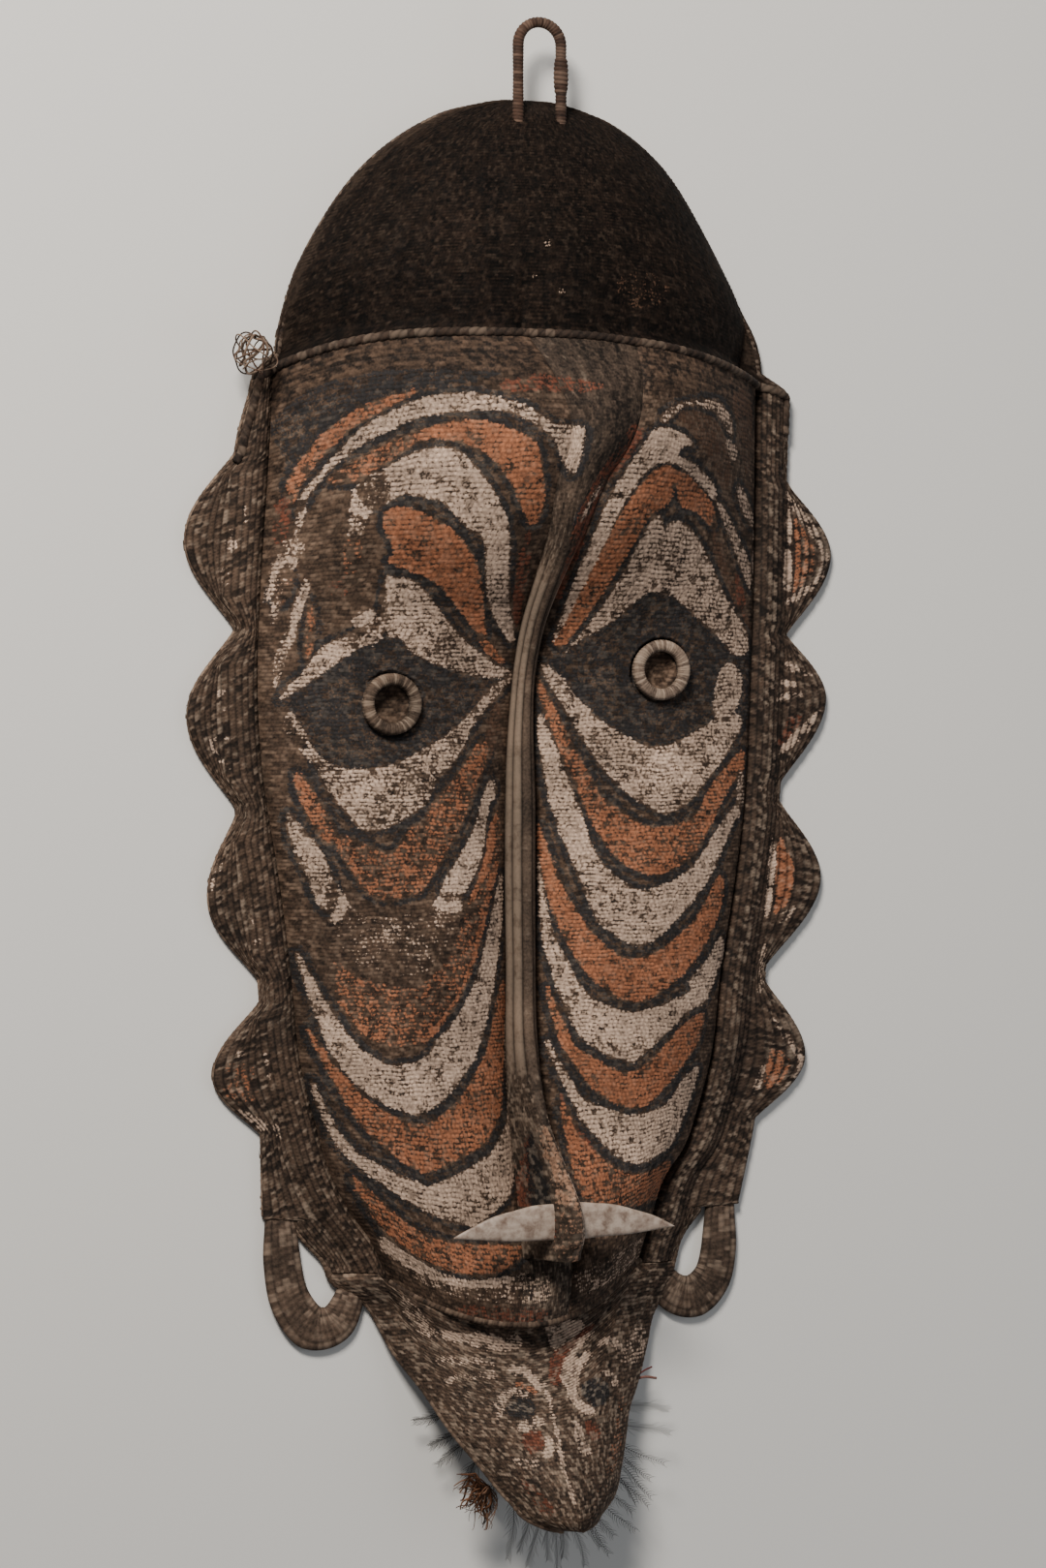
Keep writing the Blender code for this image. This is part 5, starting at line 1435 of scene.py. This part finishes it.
# ---- The hanging loop ----
# A tall loop of cord at the crown, wound with fibre string and lashed together on its right leg.
LOOP_X = 6.0
LOOP_Z = 33.0
LOOP_HALF = 15.8
LOOP_TOP_Y = 1050.5
LOOP_FOOT_Y = 980.0
CORD_RADIUS = 4.1
LASHING_Y = 1014.0
LASHING_REACH = 12.0
STRING_PITCH = 2.4
CORD_FIBRE = ((0.085, 0.045, 0.03), (0.022, 0.013, 0.0095))

cord_finish = woven_finish("wound_cord", CORD_FIBRE, (), gap=0.8, dust_and_highlight=0.08)
bend = np.linspace(math.pi, 0, 24)
turn_y = LOOP_TOP_Y - LOOP_HALF
path = np.concatenate((
    ((LOOP_X - LOOP_HALF, LOOP_FOOT_Y, LOOP_Z),),
    np.stack((LOOP_X + LOOP_HALF * np.cos(bend), turn_y + LOOP_HALF * np.sin(bend), np.full(24, LOOP_Z)), 1),
    ((LOOP_X + LOOP_HALF, LOOP_FOOT_Y, LOOP_Z),),
))
path, run = spaced(path, 0.6)
radius, crest = wrapping(run, 12, STRING_PITCH, depth=0.16)
radius = radius * CORD_RADIUS * (0.97 + 0.03 * np.sin(run / 7))[:, None]
bm = bmesh.new()
lay_cord(bm, path, radius, sides=12, crest=crest, tone=chance(np.floor(run / STRING_PITCH), 9))
leg = np.stack((
    np.full(60, LOOP_X + LOOP_HALF), np.linspace(LASHING_Y - LASHING_REACH, LASHING_Y + LASHING_REACH, 60),
    np.full(60, LOOP_Z),
), 1)
swell = 1.25 * np.sin(np.linspace(0, math.pi, 60)) ** 0.5
radius, crest = wrapping(leg[:, 1], 12, 3.2, depth=0.14)
lay_cord(
    bm, leg, radius * (CORD_RADIUS + swell)[:, None], sides=12, crest=crest,
    tone=chance(np.floor(leg[:, 1] / 3.2), 2)
)
close_piece(bm, "wound_hanging_loop", cord_finish, "hanging_loop")

# ---- The vine tangle ----
# A springy ball of thin dry vine is caught on the left temple, its loops crossing and tied.
VINE_CENTRE = np.array((-199.0, 816.0, 28.5))
VINE_RADIUS = 15.0
VINE_LOOPS = 9
VINE_BARK = ((0.095, 0.048, 0.03), (0.022, 0.013, 0.009))

vine_finish = woven_finish("dry_vine_bark", VINE_BARK, (), gap=0.5, dust_and_highlight=0.3)
bm = bmesh.new()
for k in range(VINE_LOOPS):
    angle = 2 * math.pi * np.arange(64) / 64
    reach = (VINE_RADIUS - 6 * chance(k, 1)) * (1 + 0.11 * np.sin(3 * angle + k) + 0.06 * np.sin(5 * angle - k))
    frame_of = Matrix.Rotation(math.radians(137 * k), 3, "Z") @ Matrix.Rotation(
        math.radians(15 + 140 * chance(k, 2)), 3, "X"
    )
    flat = np.stack((reach * np.cos(angle), reach * np.sin(angle), 1.5 * np.sin(2 * angle + k)), 1)
    path = flat @ np.array(frame_of).T + VINE_CENTRE + (4 * chance(k, 4) - 2, 4 * chance(k, 5) - 2, 0)
    stem = 0.5 + 0.35 * chance(k, 6)
    lay_cord(
        bm, path, stem, sides=6, closed=True, up=tuple(frame_of @ Vector((0, 0, 1))), crest=0.9,
        tone=chance(k, 8)
    )
close_piece(bm, "vine_ball", vine_finish, "vine_tangle")

# ---- The fibre tuft ----
# Dry rusty strips of leaf are knotted behind the lower left edge of the chin and curl away from it.
TUFT_KNOT = np.array((-34.5, 39.0, 40.5))
TUFT_STRIPS = 46
TUFT_FIBRE = ((0.17, 0.066, 0.028), (0.018, 0.008, 0.005))

tuft_finish = woven_finish("rusty_leaf", TUFT_FIBRE, (), gap=0.6, dust_and_highlight=0.15, fibre=0.5)
bm = bmesh.new()
for k in range(TUFT_STRIPS):
    a = math.radians(160 + 125 * chance(k, 1))
    reach = 19 + 18 * chance(k, 2)
    t = np.linspace(0, 1, 14)
    curl = (4 + 7 * chance(k, 3)) * np.sin((1.0 + 1.6 * chance(k, 4)) * math.pi * t + 6 * chance(k, 5))
    curl = curl - curl[0]
    place = np.stack((
        reach * t * math.cos(a) * 0.72 - curl * 0.5 * math.sin(a),
        reach * t * math.sin(a) + curl * 0.5 * math.cos(a),
        (chance(k, 6) - 0.5) * 7 * np.minimum(1, 3 * t) + 1.5 * np.sin(4 * t + k),
    ), 1)
    path = np.clip(TUFT_KNOT + place, (-58.5, 9.0, 34.0), (-26.5, 48.0, 45.0))
    wide = (0.4 + 1.3 * chance(k, 7) ** 2) * (1 - 0.7 * t)
    lay_cord(
        bm, path, wide, 0.28, sides=4, up=(0.3 * math.sin(k), 0.3 * math.cos(k), 1),
        crest=0.75 + 0.25 * t, tone=chance(k, 8)
    )
close_piece(bm, "curled_leaf_tuft", tuft_finish, "fibre_tuft")

# ---- The plumes ----
# Soft dark plumes are bound to a cord that follows the back of the chin, and show as thin wisps below
# and beside it, with one thin red quill.
PLUME_STATIONS = (
    (-60, 90, 15), (-46, 68, 22), (-33, 50, 27), (-17, 33, 38), (0, 25, 50), (14, 24, 56), (30, 35, 50),
    (44, 54, 40), (54, 72, 29), (64, 95, 15),
)
# (place along the cord, bearing, reach)
PLUMES = (
    (0.02, 205, 21), (0.08, 216, 20), (0.12, 226, 23), (0.20, 240, 20), (0.28, 250, 22), (0.36, 262, 43),
    (0.41, 266, 34), (0.45, 269, 41), (0.49, 275, 36), (0.52, 280, 43), (0.55, 285, 34), (0.58, 292, 45),
    (0.61, 298, 40), (0.64, 304, 49), (0.67, 309, 42), (0.7, 314, 53), (0.73, 318, 44), (0.76, 322, 54),
    (0.79, 326, 46), (0.82, 330, 54), (0.85, 334, 48), (0.88, 338, 54), (0.93, 345, 52), (0.98, 350, 48),
)
BARBS = 26
PLUME_BLACK = ((0.022, 0.018, 0.018), (0.006, 0.005, 0.0055))
QUILL_RED = ((0.16, 0.035, 0.03), (0.05, 0.012, 0.01))

plume_finish = woven_finish("dark_plume", PLUME_BLACK, (), gap=0.3, dust_and_highlight=0.06, fibre=0.4)
bm = bmesh.new()
cord_path = bow(PLUME_STATIONS, 80)
lay_cord(bm, cord_path, 2.3, sides=8, crest=0.7, tone=0.6)
for k, (place, bearing, reach) in enumerate(PLUMES):
    a = math.radians(bearing + 8 * (chance(k, 1) - 0.5))
    t = np.linspace(0, 1, BARBS)
    droop = (0.3 * chance(k, 5) - 0.15) * reach * t * t + 0.03 * reach * np.sin(5 * t + k)
    ahead, beside = np.array((math.cos(a), math.sin(a), 0)), np.array((-math.sin(a), math.cos(a), 0))
    line = cord_path[int(place * 79)] + reach * t[:, None] * ahead + droop[:, None] * beside
    line = line - (0, 0, 1) * (0.11 * reach * t * t)[:, None]
    lay_cord(bm, line, 0.24 * (1.2 - t), sides=4, crest=0.8, tone=chance(k, 2))
    for j in range(1, BARBS):
        for hand in (-1, 1):
            length = (6 + 7 * chance(j, k + 3 * hand)) * (1.05 - 0.6 * t[j])
            s = np.linspace(0, 1, 5)[:, None]
            hang = 0.5 * (chance(j, k + 5 * hand) - 0.5)
            way = ahead * (0.6 + 0.25 * s) + beside * (hand * (0.85 - 0.4 * s) + hang * s) + (0, 0, 0.3 * chance(j, k + 3) - 0.15)
            lay_cord(
                bm, line[j] + length * s * way, 0.2 * (1.2 - s[:, 0]), 0.1, sides=3, crest=0.8,
                tone=chance(j, k + 9)
            )
close_piece(bm, "dark_plumes_on_cord", plume_finish, "plume_fringe")
quill_finish = woven_finish("red_quill", QUILL_RED, (), gap=0.3, dust_and_highlight=0.2)
bm = bmesh.new()
lay_cord(
    bm, bow(((60, 95, 17), (74, 101, 18), (88, 106, 20), (98, 105, 21)), 16), 0.9, sides=6, crest=0.8,
    tone=0.8
)
lay_cord(bm, bow(((80, 103, 18), (88, 110, 20), (95, 113, 20)), 12), 0.6, sides=6, crest=0.8, tone=0.5)
close_piece(bm, "red_quill", quill_finish, "plume_fringe")
